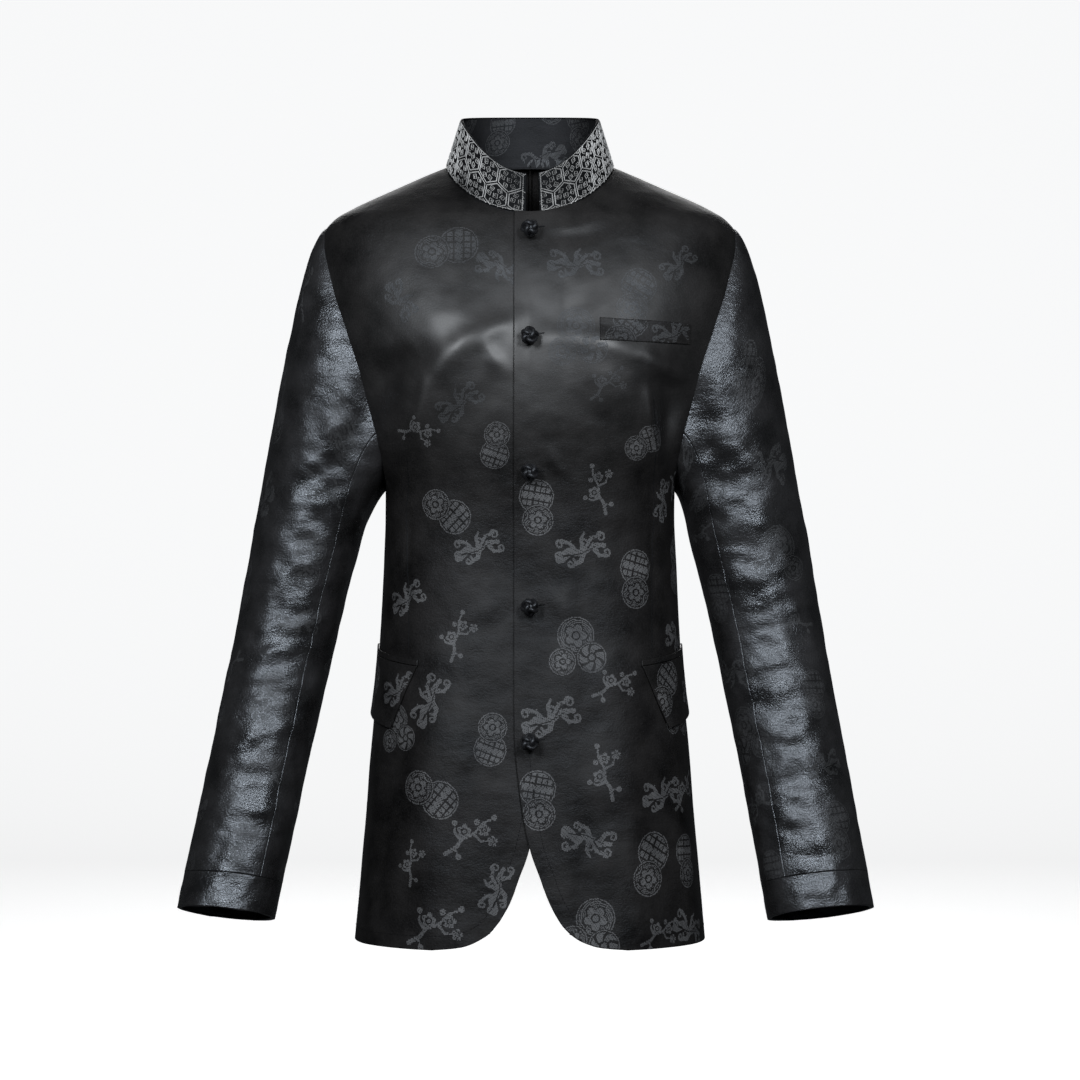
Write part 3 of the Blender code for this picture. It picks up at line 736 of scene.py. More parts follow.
def silk(name, dark, light, gloss, dull, relief, level=0.6, polish=0.0):
    made = plain_material(name, dark, gloss)
    tree = made.node_tree
    shader = tree.nodes["Principled BSDF"]
    shader.inputs["Specular IOR Level"].default_value = level
    shader.inputs["Specular Tint"].default_value = (0.84, 0.91, 1.0, 1)
    where = add(tree, "ShaderNodeTexCoord")
    flat = add(tree, "ShaderNodeUVMap", {"uv_map": "UVMap"})
    weave = add(tree, "ShaderNodeGroup", {"node_tree": grain})
    tree.links.new(where.outputs["Object"], weave.inputs["Place"])
    tree.links.new(flat.outputs["UV"], weave.inputs["Flat Place"])
    color = add(tree, "ShaderNodeValToRGB")
    color.color_ramp.elements[0].position = 0.50
    color.color_ramp.elements[0].color = (*dark, 1)
    color.color_ramp.elements[1].position = 1.0
    color.color_ramp.elements[1].color = (*light, 1)
    tree.links.new(weave.outputs["Tone"], color.inputs["Fac"])
    tree.links.new(color.outputs["Color"], shader.inputs["Base Color"])
    rough = add(tree, "ShaderNodeMapRange")
    for label, value in (("From Min", 0.45), ("From Max", 1.05), ("To Min", gloss), ("To Max", dull)):
        rough.inputs[label].default_value = value
    tree.links.new(weave.outputs["Tone"], rough.inputs["Value"])
    tree.links.new(rough.outputs["Result"], shader.inputs["Roughness"])
    if polish:
        rubbed = add(tree, "ShaderNodeAttribute", {"attribute_name": "rubbed"})
        glaze = add(tree, "ShaderNodeMath", {"operation": "MULTIPLY"})
        glaze.inputs[1].default_value = polish
        tree.links.new(rubbed.outputs["Fac"], glaze.inputs[0])
        tree.links.new(glaze.outputs["Value"], shader.inputs["Coat Weight"])
        shader.inputs["Coat Roughness"].default_value = 0.43
        shader.inputs["Coat IOR"].default_value = 1.7
    bump = add(tree, "ShaderNodeBump", Strength=0.55, Distance=relief)
    tree.links.new(weave.outputs["Height"], bump.inputs["Height"])
    tree.links.new(bump.outputs["Normal"], shader.inputs["Normal"])
    return made


FINISH = {
    "cloth": silk(
        "mud_silk", (0.0028, 0.0026, 0.0026), (0.0230, 0.0217, 0.0215), 0.34, 0.52, 0.00080, 0.13, 0.9
    ),
    "sleeve": silk("rubbed_silk", (0.0056, 0.0054, 0.0054), (0.030, 0.0290, 0.030), 0.21, 0.40, 0.00080, 1.0),
    "figure": silk("woven_figure", (0.058, 0.058, 0.060), (0.150, 0.151, 0.155), 0.50, 0.62, 0.00035, 0.4),
    # Darker, duller figures for the upper fronts, the backs, the sleeves and the collar facing: painted
    # shade, standing in for the sheen that hides the weave there.
    "shaded_figure": silk(
        "shaded_figure", (0.026, 0.0265, 0.027), (0.070, 0.071, 0.074), 0.40, 0.54, 0.00040, 0.5
    ),
    "collar": silk(
        "collar_ground", (0.0030, 0.0030, 0.0032), (0.008, 0.008, 0.009), 0.65, 0.75, 0.00030, 0.12
    ),
    "facing": silk(
        "collar_facing", (0.0060, 0.0060, 0.0064), (0.022, 0.022, 0.024), 0.55, 0.68, 0.00040, 0.25
    ),
    "silver": silk("silver_thread", (0.14, 0.14, 0.14), (0.80, 0.80, 0.79), 0.50, 0.62, 0.00015, 0.2),
    "cord": silk("knotted_cord", (0.0055, 0.0055, 0.006), (0.018, 0.018, 0.020), 0.34, 0.48, 0.00030, 0.6),
    "seam": silk("seam_thread", (0.004, 0.004, 0.0042), (0.010, 0.010, 0.0105), 0.5, 0.6, 0.00010, 0.3),
}
print("finishes:", list(FINISH))

# %% [markdown]
# ## Cutting the cloth
#
# Every piece starts as a grid of points on its outer face. Faces join them, the flat place
# of each point becomes its UV, and Solidify gives the thickness inwards. The front that
# buttons over the other one is lifted a little near its edge.

# %% From a grid of points to a piece of cloth
BODY_THICKNESS = 0.0010
cloths = {}


def beside_edges(grid, axis):
    """Adds a row close to each of two edges, so that a fold there stays crisp."""
    first, second, before, last = (np.take(grid, [i], axis) for i in (0, 1, -2, -1))
    inner = np.take(grid, range(1, grid.shape[axis] - 1), axis)
    return np.concatenate([first, first * 0.7 + second * 0.3, inner, last * 0.7 + before * 0.3, last], axis)


def turned_in(points, flat, depth):
    """Folds a narrow allowance inwards along all four edges, as a maker turns raw edges in."""
    normals = unit(np.cross(np.gradient(points, axis=1), np.gradient(points, axis=0)))
    normals = np.pad(normals[1:-1, 1:-1], ((1, 1), (1, 1), (0, 0)), mode="edge")
    for axis in (0, 1):
        points, flat, normals = (beside_edges(part, axis) for part in (points, flat, normals))
        ends = [np.take(points, [i], axis) - np.take(normals, [i], axis) * depth for i in (0, -1)]
        points = np.concatenate([ends[0], points, ends[1]], axis)
        flat = np.concatenate([np.take(flat, [0], axis), flat, np.take(flat, [-1], axis)], axis)
        normals = np.concatenate([np.take(normals, [0], axis), normals, np.take(normals, [-1], axis)], axis)
    return points, flat


def rubbed_places(name, points):
    """How far the glaze is polished, from 0 to 1: sleeves all over, bodies across the chest."""
    if name.startswith(("outer", "inner", "cuff")):
        return np.ones(points.shape[:-1])
    if name.startswith(("front", "back")):
        above = points[..., 2] + 0.205
        return 0.10 + 0.86 * np.exp(-((above / np.where(above > 0, 0.13, 0.055)) ** 2))
    return np.full(points.shape[:-1], 0.25)


def cloth_mesh(name, points, flat, finish, allowance=0.004):
    points, flat = turned_in(points, flat, allowance)
    rows, columns = points.shape[:2]
    index = np.arange(rows * columns).reshape(rows, columns)
    faces = np.stack([index[:-1, :-1], index[:-1, 1:], index[1:, 1:], index[1:, :-1]], -1).reshape(-1, 4)
    mesh = bpy.data.meshes.new(name)
    mesh.from_pydata(points.reshape(-1, 3).tolist(), [], faces.tolist())
    uv = mesh.uv_layers.new(name="UVMap")
    uv.data.foreach_set("uv", flat.reshape(-1, 2)[faces.reshape(-1)].astype(np.float32).ravel())
    rubbed = mesh.attributes.new("rubbed", "FLOAT", "POINT")
    rubbed.data.foreach_set("value", rubbed_places(name, points).ravel())
    mesh.shade_smooth()
    mesh.materials.append(FINISH[finish])
    made = bpy.data.objects.new(name, mesh)
    scene.collection.objects.link(made)
    cloths[name] = made
    return made


def mirrored_flat(flat):
    return np.stack([2 * UV_MIDDLE - flat[..., 0], flat[..., 1]], -1)[:, ::-1]


print("cloth is", BODY_THICKNESS * 1000, "mm thick")

# %% The four panels of the body


def seam_fade(points, angle, height):
    """0 at the armhole and the neck seam, 1 a little way off, so the sleeves and collar meet it."""
    arm_height = np.clip(height, UNDERARM, SHOULDER_TIP)
    turn = np.degrees(np.arccos(np.clip(2 * (arm_height - UNDERARM) / (SHOULDER_TIP - UNDERARM) - 1, -1, 1)))
    turn = np.where(angle > SIDE_SEAM, 360 - turn, turn)
    off = np.abs(armhole(turn)[0] - angle) / 9
    share = np.clip(np.maximum(off, (UNDERARM - height) / 0.02), 0, 1)
    share = np.where(height > SHOULDER_TIP, np.clip((height - SHOULDER_TIP) / 0.008, share, 1), share)
    deep = np.where(points[..., 1] < 0, 0.078, 0.056)
    from_neck = np.hypot(points[..., 0] / NECK_HALF_WIDTH, points[..., 1] / deep) - 1
    share = np.minimum(share, np.where(height > -0.08, np.clip(from_neck / 0.2, 0, 1), 1))
    return share**2 * (3 - 2 * share)


def draped_body(angle, height, side, off=0.0):
    """Points of the creased body on one side, standing off it by a distance."""
    smooth, normals = body(angle, height), outward(angle, height)
    fade = seam_fade(smooth, angle, height)
    if side == "right":
        smooth = smooth * np.array([-1.0, 1.0, 1.0])
        normals = normals * np.array([-1.0, 1.0, 1.0])
    moved = creased(smooth, normals, CREASES, soft=0.0016, small=0.0004, stretch=(1.3, 1, 1)) * fade
    moved += 0.00035 * fade * np.abs(normals[..., 1]) * waves(smooth, (1.3, 1.3, 0.9), 0.0100, 31.0)
    return smooth + normals * (moved + off)[..., None]


def top_front_lift(angle, height):
    across = body(angle, height)[..., 0]
    share = np.clip((0.052 - across) / 0.026, 0, 1)
    return 0.0026 * share**2 * (3 - 2 * share)


for name, grid in (("front", front), ("back", back)):
    angle, height = grid[..., 0], grid[..., 1]
    flat = on_flat_cloth(angle, height)
    lift = top_front_lift(angle, height) if name == "front" else 0.0
    cloth_mesh(f"{name}_panel_left", draped_body(angle, height, "left", lift), flat, "cloth")
    right = draped_body(angle, height, "right")[:, ::-1]
    cloth_mesh(f"{name}_panel_right", right, mirrored_flat(flat), "cloth")
print("panels:", {name: len(made.data.polygons) for name, made in cloths.items()})

# %% The sleeves and the cuffs
sleeve_turns = np.arange(BACK_SLEEVE_SEAM - 360, BACK_SLEEVE_SEAM + 1, 3.0)
seam_column = round((FRONT_SLEEVE_SEAM - sleeve_turns[0]) / 3.0)


def ring_normals(points):
    around = np.concatenate([points[:, -2:-1], points, points[:, 1:2]], axis=1)
    return unit(np.cross(around[:, 2:] - around[:, :-2], np.gradient(points, axis=0)))


def sleeve_points(side):
    width, lean = {"left": (1.03, -0.004), "right": (0.95, 0.004)}[side]
    smooth = sleeve_grid(sleeve_turns, width, lean)
    normals = ring_normals(smooth)
    if side == "right":
        smooth, normals = (part * np.array([-1.0, 1.0, 1.0]) for part in (smooth, normals))
    rows = {"front": ARM_CREASES[side], "back": ARM_CREASES[side]}
    moved = creased(smooth, normals, rows, soft=0.0018, small=0.0015, stretch=(1.15, 1.15, 0.85), seed=11.0)
    moved += 0.0008 * np.abs(normals[..., 1]) * waves(smooth, (1.2, 1.2, 0.9), 0.0100, 23.0)
    moved[:, -1] = moved[:, 0]
    return smooth + normals * (moved * edge_fade(moved.shape, ("bottom",), 14))[..., None]


def sleeve_flat():
    """Flat places: round the arm from its outer side, and down it from the armhole."""
    middle = sleeve_grid(sleeve_turns, 1.0, 0.0)
    down = added_up(middle, 0).mean(axis=1)
    across = np.radians(sleeve_turns) * 0.052 + UV_MIDDLE
    return np.stack(np.broadcast_arrays(across[None, :], 0.95 - down[:, None]), -1)


flat_sleeve = sleeve_flat()
sleeve_rows = 55 + 100
STRIPS = (
    ("outer_sleeve", slice(0, sleeve_rows), slice(0, seam_column + 1)),
    ("inner_sleeve", slice(0, sleeve_rows), slice(seam_column, None)),
    ("cuff_band", slice(sleeve_rows - 1, None), slice(0, None)),
)


def drawn_in(points, gap=0.0002):
    """Draws all four edges in by half a seam, so that neighbours leave a thin dark line."""
    points = points.copy()
    for edge, inner in ((points[0], points[1]), (points[-1], points[-2])):
        edge += unit(inner - edge) * gap
    for edge, inner in ((points[:, 0], points[:, 1]), (points[:, -1], points[:, -2])):
        edge += unit(inner - edge) * gap
    return points


for side in ("left", "right"):
    whole = sleeve_points(side)
    for name, rows, columns in STRIPS:
        points, flat = drawn_in(whole[rows, columns]), flat_sleeve[rows, columns]
        if side == "right":
            points, flat = points[:, ::-1], mirrored_flat(flat)
        cloth_mesh(f"{name}_{side}", points, flat, "sleeve")
print("sleeve strips:", [name for name in cloths if "sleeve" in name])

# %% The collar's outer band and its facing
collar_across = added_up(collar_outside, 1)[11]
collar_up = np.linspace(0, collar_height, 23)
collar_flat = np.stack(np.broadcast_arrays(collar_across[None, :] + 0.1, collar_up[:, None] + 0.1), -1)
collar_normals = unit(np.cross(np.gradient(collar_outside, axis=1), np.gradient(collar_outside, axis=0)))
cloth_mesh("collar_band", collar_outside, collar_flat, "collar", 0.0014)
collar_inside = collar_outside - collar_normals * 0.0030
collar_inside[0, :, 2] -= 0.006
cloth_mesh("collar_facing", collar_inside[:, ::-1], collar_flat[:, ::-1], "facing", 0.0)
print("collar flat size:", round(collar_length, 3), "x", round(collar_height, 3))

# %% The breast welt, the pocket jets and the flaps
PATCHES = {
    "breast_welt_band": (
        "across", (0.0610, -0.1620), (0.1400, -0.1635), (0.1400, -0.1455), (0.0610, -0.1420),
    ),
    "pocket_jet": ("angle", (42.5, -0.4455), (93.0, -0.4330), (93.0, -0.4282), (42.5, -0.4408)),
    "pocket_flap": ("angle", (55.0, -0.5010), (93.0, -0.4870), (93.0, -0.4336), (42.9, -0.4461)),
}


def patch_grid(corners, columns, rows):
    u = np.linspace(0, 1, columns + 1)[None, :, None]
    v = np.linspace(0, 1, rows + 1)[:, None, None]
    low = corners[0] * (1 - u) + corners[1] * u
    high = corners[3] * (1 - u) + corners[2] * u
    return low * (1 - v) + high * v


def patch(kind, name, side, columns, rows, shift):
    measured, *corners = PATCHES[kind]
    corners = np.array(corners, float)
    if measured == "across":
        corners[:, 0] = angle_at(corners[:, 0], corners[:, 1])
    grid = patch_grid(corners, columns, rows)
    angle, height = grid[..., 0], grid[..., 1]
    hang = np.linspace(1, 0, rows + 1)[:, None] ** 2 * (0.0016 if kind == "pocket_flap" else 0.0)
    points = draped_body(angle, height, side, (0.0019 if kind != "breast_welt_band" else 0.0013) + hang)
    flat = on_flat_cloth(angle, height) + np.array(shift)
    if side == "right":
        points, flat = points[:, ::-1], mirrored_flat(flat)
    return cloth_mesh(name, points, flat, "cloth", 0.0012)


patch("breast_welt_band", "breast_welt_band", "left", 40, 10, (0.012, 0.021))
for side in ("left", "right"):
    patch("pocket_jet", f"pocket_jet_{side}_strip", side, 50, 3, (0.0, 0.033))
    patch("pocket_flap", f"pocket_flap_{side}_leaf", side, 50, 24, (0.02, 0.045))
print("patches laid on the fronts:", [name for name in cloths if "pocket" in name or "welt" in name])

# %% [markdown]
# ## Woven figures
#
# In a figured silk each motif is made of short threads that float over the ground, row by
# row. So a motif is drawn here as a rule that says where thread shows, and the rule is woven
# into rows of narrow strips. The strips are laid on the flat cloth by Geometry Nodes, which
# look up where each flat place is on the shaped cloth. The motifs are roundels with a
# blossom or a lattice, curling clouds and flowering branches, on a half-drop repeat.

# %% Rules for lines, curls and blossoms
FLOAT_ROW = 0.00095


def near_line(x, y, points, width):
    """True within half a width of a line through the points, tapering to its far end."""
    points = np.array(points, float)
    shown = np.zeros(x.shape, bool)
    for number, (a, b) in enumerate(zip(points[:-1], points[1:])):
        run = b - a
        share = np.clip(((x - a[0]) * run[0] + (y - a[1]) * run[1]) / (run @ run), 0, 1)
        taper = 1 - 0.55 * (number + share) / (len(points) - 1)
        shown |= np.hypot(x - a[0] - share * run[0], y - a[1] - share * run[1]) < width / 2 * taper
    return shown


def curl(centre, start, turns, radius, hand=1):
    """Points of a spiral that winds into its centre."""
    steps = np.linspace(0, 1, 14)
    angle = start + hand * 2 * math.pi * turns * steps
    reach = radius * (1 - 0.82 * steps)
    return np.stack([centre[0] + reach * np.cos(angle), centre[1] + reach * np.sin(angle)], -1)


def blossom(x, y, centre, radius):
    distance = np.hypot(x - centre[0], y - centre[1])
    angle = np.arctan2(y - centre[1], x - centre[0])
    petals = radius * (0.68 + 0.32 * np.abs(np.cos(2.5 * angle)))
    return (distance < petals) & ~((distance > 0.28 * radius) & (distance < 0.45 * radius))


def roundel(x, y, centre, radius, filling):
    x, y = x - centre[0], y - centre[1]
    distance, angle = np.hypot(x, y), np.arctan2(y, x)
    rim = (distance < radius) & (distance > radius - 0.0010)
    within = distance < radius - 0.0020
    if filling == "lattice":
        u, v = np.abs(x) / radius, y / radius
        gaps = (np.abs(u - 0.26) < 0.045) | (np.abs(u - 0.62) < 0.045)
        gaps |= (np.abs(np.mod(v * 3.2, 1) - 0.5) < 0.13) & (u > 0.12) & (u < 0.80)
    elif filling == "blossom":
        petals = radius * 0.66 * (0.62 + 0.38 * np.abs(np.cos(2.5 * angle)))
        gaps = np.abs(distance - petals) < 0.0008
        gaps |= np.abs(distance - 0.2 * radius) < 0.0007
        gaps |= (distance > petals + 0.0008) & (np.sin(9 * angle + 60 * distance / radius) > 0.35)
    else:
        wave = np.sin(6 * angle + 5 * distance / radius)
        gaps = (wave > 0.55) & (distance > 0.3 * radius)
        gaps |= np.abs(distance - 0.27 * radius) < 0.0008
    return rim | (within & ~gaps)


def cloud(x, y, flip=1):
    y = y * flip
    body_line = [(-0.021, -0.004), (-0.012, 0.001), (-0.002, -0.002), (0.008, 0.003), (0.020, 0.001)]
    shown = near_line(x, y, body_line, 0.0086)
    shown |= near_line(x, y, [(-0.006, 0.000), (-0.010, 0.008), (-0.018, 0.011)], 0.0056)
    shown |= near_line(x, y, [(0.004, 0.000), (0.009, 0.009), (0.018, 0.011)], 0.0054)
    shown |= near_line(x, y, [(0.001, -0.001), (-0.003, -0.009), (-0.012, -0.012)], 0.0056)
    shown |= near_line(x, y, [(0.010, 0.001), (0.014, -0.007), (0.021, -0.008)], 0.0048)
    shown |= near_line(x, y, [(0.000, 0.002), (0.000, 0.010), (0.004, 0.015)], 0.0042)
    for centre, start, hand in (
        ((-0.019, 0.0085), 0.5, 1), ((0.018, 0.0085), 2.0, -1), ((-0.0125, -0.0095), 0.8, -1),
        ((0.021, -0.0052), 3.6, 1), ((0.002, 0.0065), 4.2, 1), ((-0.022, -0.0015), 5.6, 1),
    ):
        shown |= near_line(x, y, curl(centre, start, 1.15, 0.0044, hand), 0.0024)
    for vein in (
        [(-0.018, -0.002), (-0.003, -0.003), (0.014, 0.002)],
        [(-0.004, 0.002), (-0.009, 0.009)],
        [(0.005, 0.001), (0.012, 0.0095)],
    ):
        shown &= ~near_line(x, y, vein, 0.0015)
    return shown


def branch(x, y, flip=1):
    y = y * flip
    stem = [
        (-0.022, -0.010), (-0.012, -0.006), (-0.006, 0.000), (0.004, 0.002), (0.012, 0.009), (0.021, 0.011),
    ]
    shown = near_line(x, y, stem, 0.0034)
    shown |= near_line(x, y, [(-0.008, -0.002), (-0.012, 0.006), (-0.010, 0.012)], 0.0024)
    shown |= near_line(x, y, [(0.003, 0.002), (0.008, -0.005), (0.016, -0.006)], 0.0024)
    shown |= near_line(x, y, [(-0.014, -0.007), (-0.012, -0.013)], 0.0022)
    for centre, radius in (((-0.004, 0.0050), 0.0060), ((0.012, 0.0035), 0.0052), ((0.017, -0.0065), 0.0044)):
        shown |= blossom(x, y, centre, radius)
    for centre in ((-0.0105, 0.0130), (0.0215, 0.0118), (-0.0120, -0.0140), (0.0075, 0.0105)):
        shown |= np.hypot(x - centre[0], y - centre[1]) < 0.0024
    return shown


def two_roundels(x, y):
    shown = roundel(x, y, (0.0105, 0.002), 0.0160, "lattice")
    in_front = np.hypot(x + 0.0110, y + 0.003) < 0.0150
    return (shown & ~in_front) | roundel(x, y, (-0.0110, -0.003), 0.0142, "blossom")


def three_roundels(x, y):
    shown = roundel(x, y, (0.000, 0.0090), 0.0175, "blossom")
    for centre, radius, filling in (
        ((0.0150, -0.0110), 0.0140, "leaves"),
        ((-0.0125, -0.0150), 0.0125, "blossom"),
    ):
        shown &= np.hypot(x - centre[0], y - centre[1]) > radius + 0.0009
        shown |= roundel(x, y, centre, radius, filling)
    return shown


FIGURES = {
    "a_branch": branch,
    "b_branch": lambda x, y: branch(x, y, -1),
    "c_cloud": cloud,
    "d_cloud": lambda x, y: cloud(x, y, -1),
    "e_roundels": two_roundels,
    "f_roundels": three_roundels,
}
BRANCH, BRANCH_TURNED, CLOUD, CLOUD_TURNED, TWO, THREE = range(6)
print("figures:", list(FIGURES))

# %% Weaving a rule into strips


def woven(shows):
    """Corners and faces of the short floats that a rule leaves showing, row by row."""
    across = np.arange(-0.036, 0.036, 0.0005)
    rows = np.arange(-0.034, 0.034, FLOAT_ROW)
    x, y = np.meshgrid(across, rows)
    on = shows(x, y) & ~(np.sin(x * 2730 + y * 900) * np.sin(y * 2300 - x * 700) > 0.62)
    corners, faces = [], []
    for line, y in zip(on, rows):
        edges = np.flatnonzero(np.diff(np.concatenate([[0], line.astype(int), [0]])))
        for first, last in zip(edges[::2], edges[1::2]):
            parts = max(1, round((last - first) * 0.0005 / 0.0042))
            cuts = across[0] + np.linspace(first, last, parts + 1) * 0.0005
            start = len(corners)
            corners += [(x, y + side * FLOAT_ROW * 0.43, 0.0) for x in cuts for side in (-1, 1)]
            faces += [
                (start + 2 * i, start + 2 * i + 2, start + 2 * i + 3, start + 2 * i + 1)
                for i in range(parts)
            ]
    return corners, faces


def drawings(name, shapes):
    """A collection of flat drawings, one object for each shape."""
    made = bpy.data.collections.new(name)
    for label, (corners, faces) in shapes.items():
        mesh = bpy.data.meshes.new(label)
        mesh.from_pydata(corners, [], faces)
        made.objects.link(bpy.data.objects.new(label, mesh))
    return made


woven_figures = drawings("woven_figures", {name: woven(rule) for name, rule in FIGURES.items()})

# %% [markdown]
# ## Laying drawings on the cloth
#
# One Geometry Nodes tree serves the figures, the collar's embroidery, the stitches and the
# buttonholes. It puts a drawing on each marked place of the flat cloth, then asks the shaped
# cloth's UV map where that place really is, and lifts the drawing off by a hair. Anything
# that falls outside the cut is deleted, as scissors would.

# %% The tree that lays drawings on cloth


def laying_tree():
    tree = bpy.data.node_groups.new("laid_on_cloth", "GeometryNodeTree")
    for label, kind in (
        ("Places", "NodeSocketGeometry"), ("Drawings", "NodeSocketCollection"), ("Cloth", "NodeSocketObject"),
        ("Lift", "NodeSocketFloat"), ("Finish", "NodeSocketMaterial"),
    ):
        tree.interface.new_socket(label, in_out="INPUT", socket_type=kind)
    tree.interface.new_socket("Laid", in_out="OUTPUT", socket_type="NodeSocketGeometry")
    entry, leaving = add(tree, "NodeGroupInput"), add(tree, "NodeGroupOutput")
    join = tree.links.new
    pieces = add(tree, "GeometryNodeCollectionInfo")
    pieces.inputs["Separate Children"].default_value = True
    pieces.inputs["Reset Children"].default_value = True
    join(entry.outputs["Drawings"], pieces.inputs["Collection"])
    kind, turn, size = (
        add(tree, "GeometryNodeInputNamedAttribute", {"data_type": what}, Name=label)
        for label, what in (("kind", "INT"), ("turn", "FLOAT"), ("size", "FLOAT"))
    )
    about = add(tree, "ShaderNodeCombineXYZ")
    join(turn.outputs["Attribute"], about.inputs["Z"])
    put = add(tree, "GeometryNodeInstanceOnPoints")
    put.inputs["Pick Instance"].default_value = True
    join(entry.outputs["Places"], put.inputs["Points"])
    join(pieces.outputs["Instances"], put.inputs["Instance"])
    join(kind.outputs["Attribute"], put.inputs["Instance Index"])
    join(about.outputs["Vector"], put.inputs["Rotation"])
    join(size.outputs["Attribute"], put.inputs["Scale"])
    real = add(tree, "GeometryNodeRealizeInstances")
    join(put.outputs["Instances"], real.inputs["Geometry"])
    cloth = add(tree, "GeometryNodeObjectInfo")
    join(entry.outputs["Cloth"], cloth.inputs["Object"])
    flat = add(tree, "GeometryNodeInputNamedAttribute", {"data_type": "FLOAT_VECTOR"}, Name="UVMap")
    here = add(tree, "GeometryNodeInputPosition")
    found = []
    for field in ("GeometryNodeInputPosition", "GeometryNodeInputNormal"):
        value = add(tree, field)
        sample = add(tree, "GeometryNodeSampleUVSurface", {"data_type": "FLOAT_VECTOR"})
        join(cloth.outputs["Geometry"], sample.inputs["Mesh"])
        join(value.outputs[0], sample.inputs["Value"])
        join(flat.outputs["Attribute"], sample.inputs[2])
        join(here.outputs["Position"], sample.inputs[3])
        found.append(sample)
    outside = add(tree, "FunctionNodeBooleanMath", {"operation": "NOT"})
    join(found[0].outputs["Is Valid"], outside.inputs[0])
    cut = add(tree, "GeometryNodeDeleteGeometry")
    join(real.outputs["Geometry"], cut.inputs["Geometry"])
    join(outside.outputs["Boolean"], cut.inputs["Selection"])
    depth = add(tree, "ShaderNodeSeparateXYZ")
    join(here.outputs["Position"], depth.inputs["Vector"])
    off = add(tree, "ShaderNodeMath", {"operation": "ADD"})
    join(depth.outputs["Z"], off.inputs[0])
    join(entry.outputs["Lift"], off.inputs[1])
    away = add(tree, "ShaderNodeVectorMath", {"operation": "SCALE"})
    join(found[1].outputs["Value"], away.inputs["Vector"])
    join(off.outputs["Value"], away.inputs["Scale"])
    place = add(tree, "ShaderNodeVectorMath", {"operation": "ADD"})
    join(found[0].outputs["Value"], place.inputs[0])
    join(away.outputs["Vector"], place.inputs[1])
    shaped = add(tree, "GeometryNodeSetPosition")
    join(cut.outputs["Geometry"], shaped.inputs["Geometry"])
    join(place.outputs["Vector"], shaped.inputs["Position"])
    finish = add(tree, "GeometryNodeSetMaterial")
    join(shaped.outputs["Geometry"], finish.inputs["Geometry"])
    join(entry.outputs["Finish"], finish.inputs["Material"])
    join(finish.outputs["Geometry"], leaving.inputs["Laid"])
    return tree


laying = laying_tree()
laid_pieces = {}


def lay(name, cloth, places, shapes, finish, lift):
    """Lays a drawing at each place (across, up, kind, turn, size) of the flat cloth."""
    mesh = bpy.data.meshes.new(name)
    mesh.from_pydata([(across, up, 0.0) for across, up, *_ in places], [], [])
    for column, label, what in ((2, "kind", "INT"), (3, "turn", "FLOAT"), (4, "size", "FLOAT")):
        field = mesh.attributes.new(label, what, "POINT")
        field.data.foreach_set("value", [place[column] for place in places])
    made = bpy.data.objects.new(name, mesh)
    scene.collection.objects.link(made)
    modifier = made.modifiers.new("laid", "NODES")
    modifier.node_group = laying
    given = {"Drawings": shapes, "Cloth": cloth, "Lift": lift, "Finish": FINISH[finish]}
    for item in laying.interface.items_tree:
        if item.in_out == "INPUT" and item.name in given:
            modifier[item.identifier] = given[item.name]
    graph = bpy.context.evaluated_depsgraph_get()
    made_mesh = bpy.data.meshes.new_from_object(
        made.evaluated_get(graph), preserve_all_data_layers=True, depsgraph=graph
    )
    made.modifiers.remove(modifier)
    made.data = made_mesh
    made_mesh.name = name
    laid_pieces[name] = (made, cloth)
    return made


print("tree inputs:", [item.name for item in laying.interface.items_tree if item.in_out == "INPUT"])

# %% Where the figures fall
FIGURES_ON_LEFT_FRONT = (
    (0.040, -0.095, CLOUD, 0, 1.0), (0.092, -0.123, TWO, 60, 1.0), (0.040, -0.158, THREE, 0, 0.95),
    (0.131, -0.093, CLOUD, 40, 0.8), (0.067, -0.200, BRANCH, 20, 0.8), (0.061, -0.291, BRANCH, 80, 0.9),
    (0.006, -0.307, TWO, 80, 0.95), (0.046, -0.344, CLOUD, 10, 1.0), (0.093, -0.370, TWO, 75, 1.0),
    (0.040, -0.427, THREE, 0, 0.95), (0.074, -0.462, BRANCH, 0, 0.9), (0.018, -0.490, CLOUD, 15, 1.05),
    (0.066, -0.538, BRANCH, 80, 1.0), (0.118, -0.559, CLOUD, 5, 1.0), (0.007, -0.562, TWO, 80, 1.0),
    (0.051, -0.595, CLOUD_TURNED, -10, 1.0), (0.106, -0.619, TWO, 60, 1.1), (0.054, -0.672, THREE, -20, 1.0),
    (0.114, -0.679, BRANCH, 0, 0.9), (0.118, -0.300, CLOUD, 70, 0.8), (0.100, -0.250, TWO, 20, 0.8),
)
FIGURES_ON_RIGHT_FRONT = (
    (0.074, -0.079, TWO, 0, 1.1), (0.026, -0.096, CLOUD_TURNED, 20, 0.9), (0.113, -0.126, CLOUD, 60, 0.8),
    (0.061, -0.217, CLOUD, -30, 0.9), (0.029, -0.252, TWO, 110, 0.8), (0.074, -0.309, TWO, 45, 0.95),
    (0.045, -0.342, CLOUD, -15, 0.9), (0.063, -0.420, BRANCH, -50, 0.9), (0.087, -0.476, CLOUD, -60, 1.0),
    (0.033, -0.508, TWO, 110, 0.9), (0.087, -0.556, TWO, 40, 1.05), (0.052, -0.593, BRANCH, -10, 1.1),
    (0.103, -0.618, BRANCH, -60, 0.8), (0.028, -0.638, CLOUD, -70, 0.9), (0.083, -0.672, BRANCH, -5, 1.2),
    (0.109, -0.387, CLOUD, -20, 0.9), (0.098, -0.240, BRANCH, 30, 0.8), (0.118, -0.500, THREE, 0, 0.8),
)


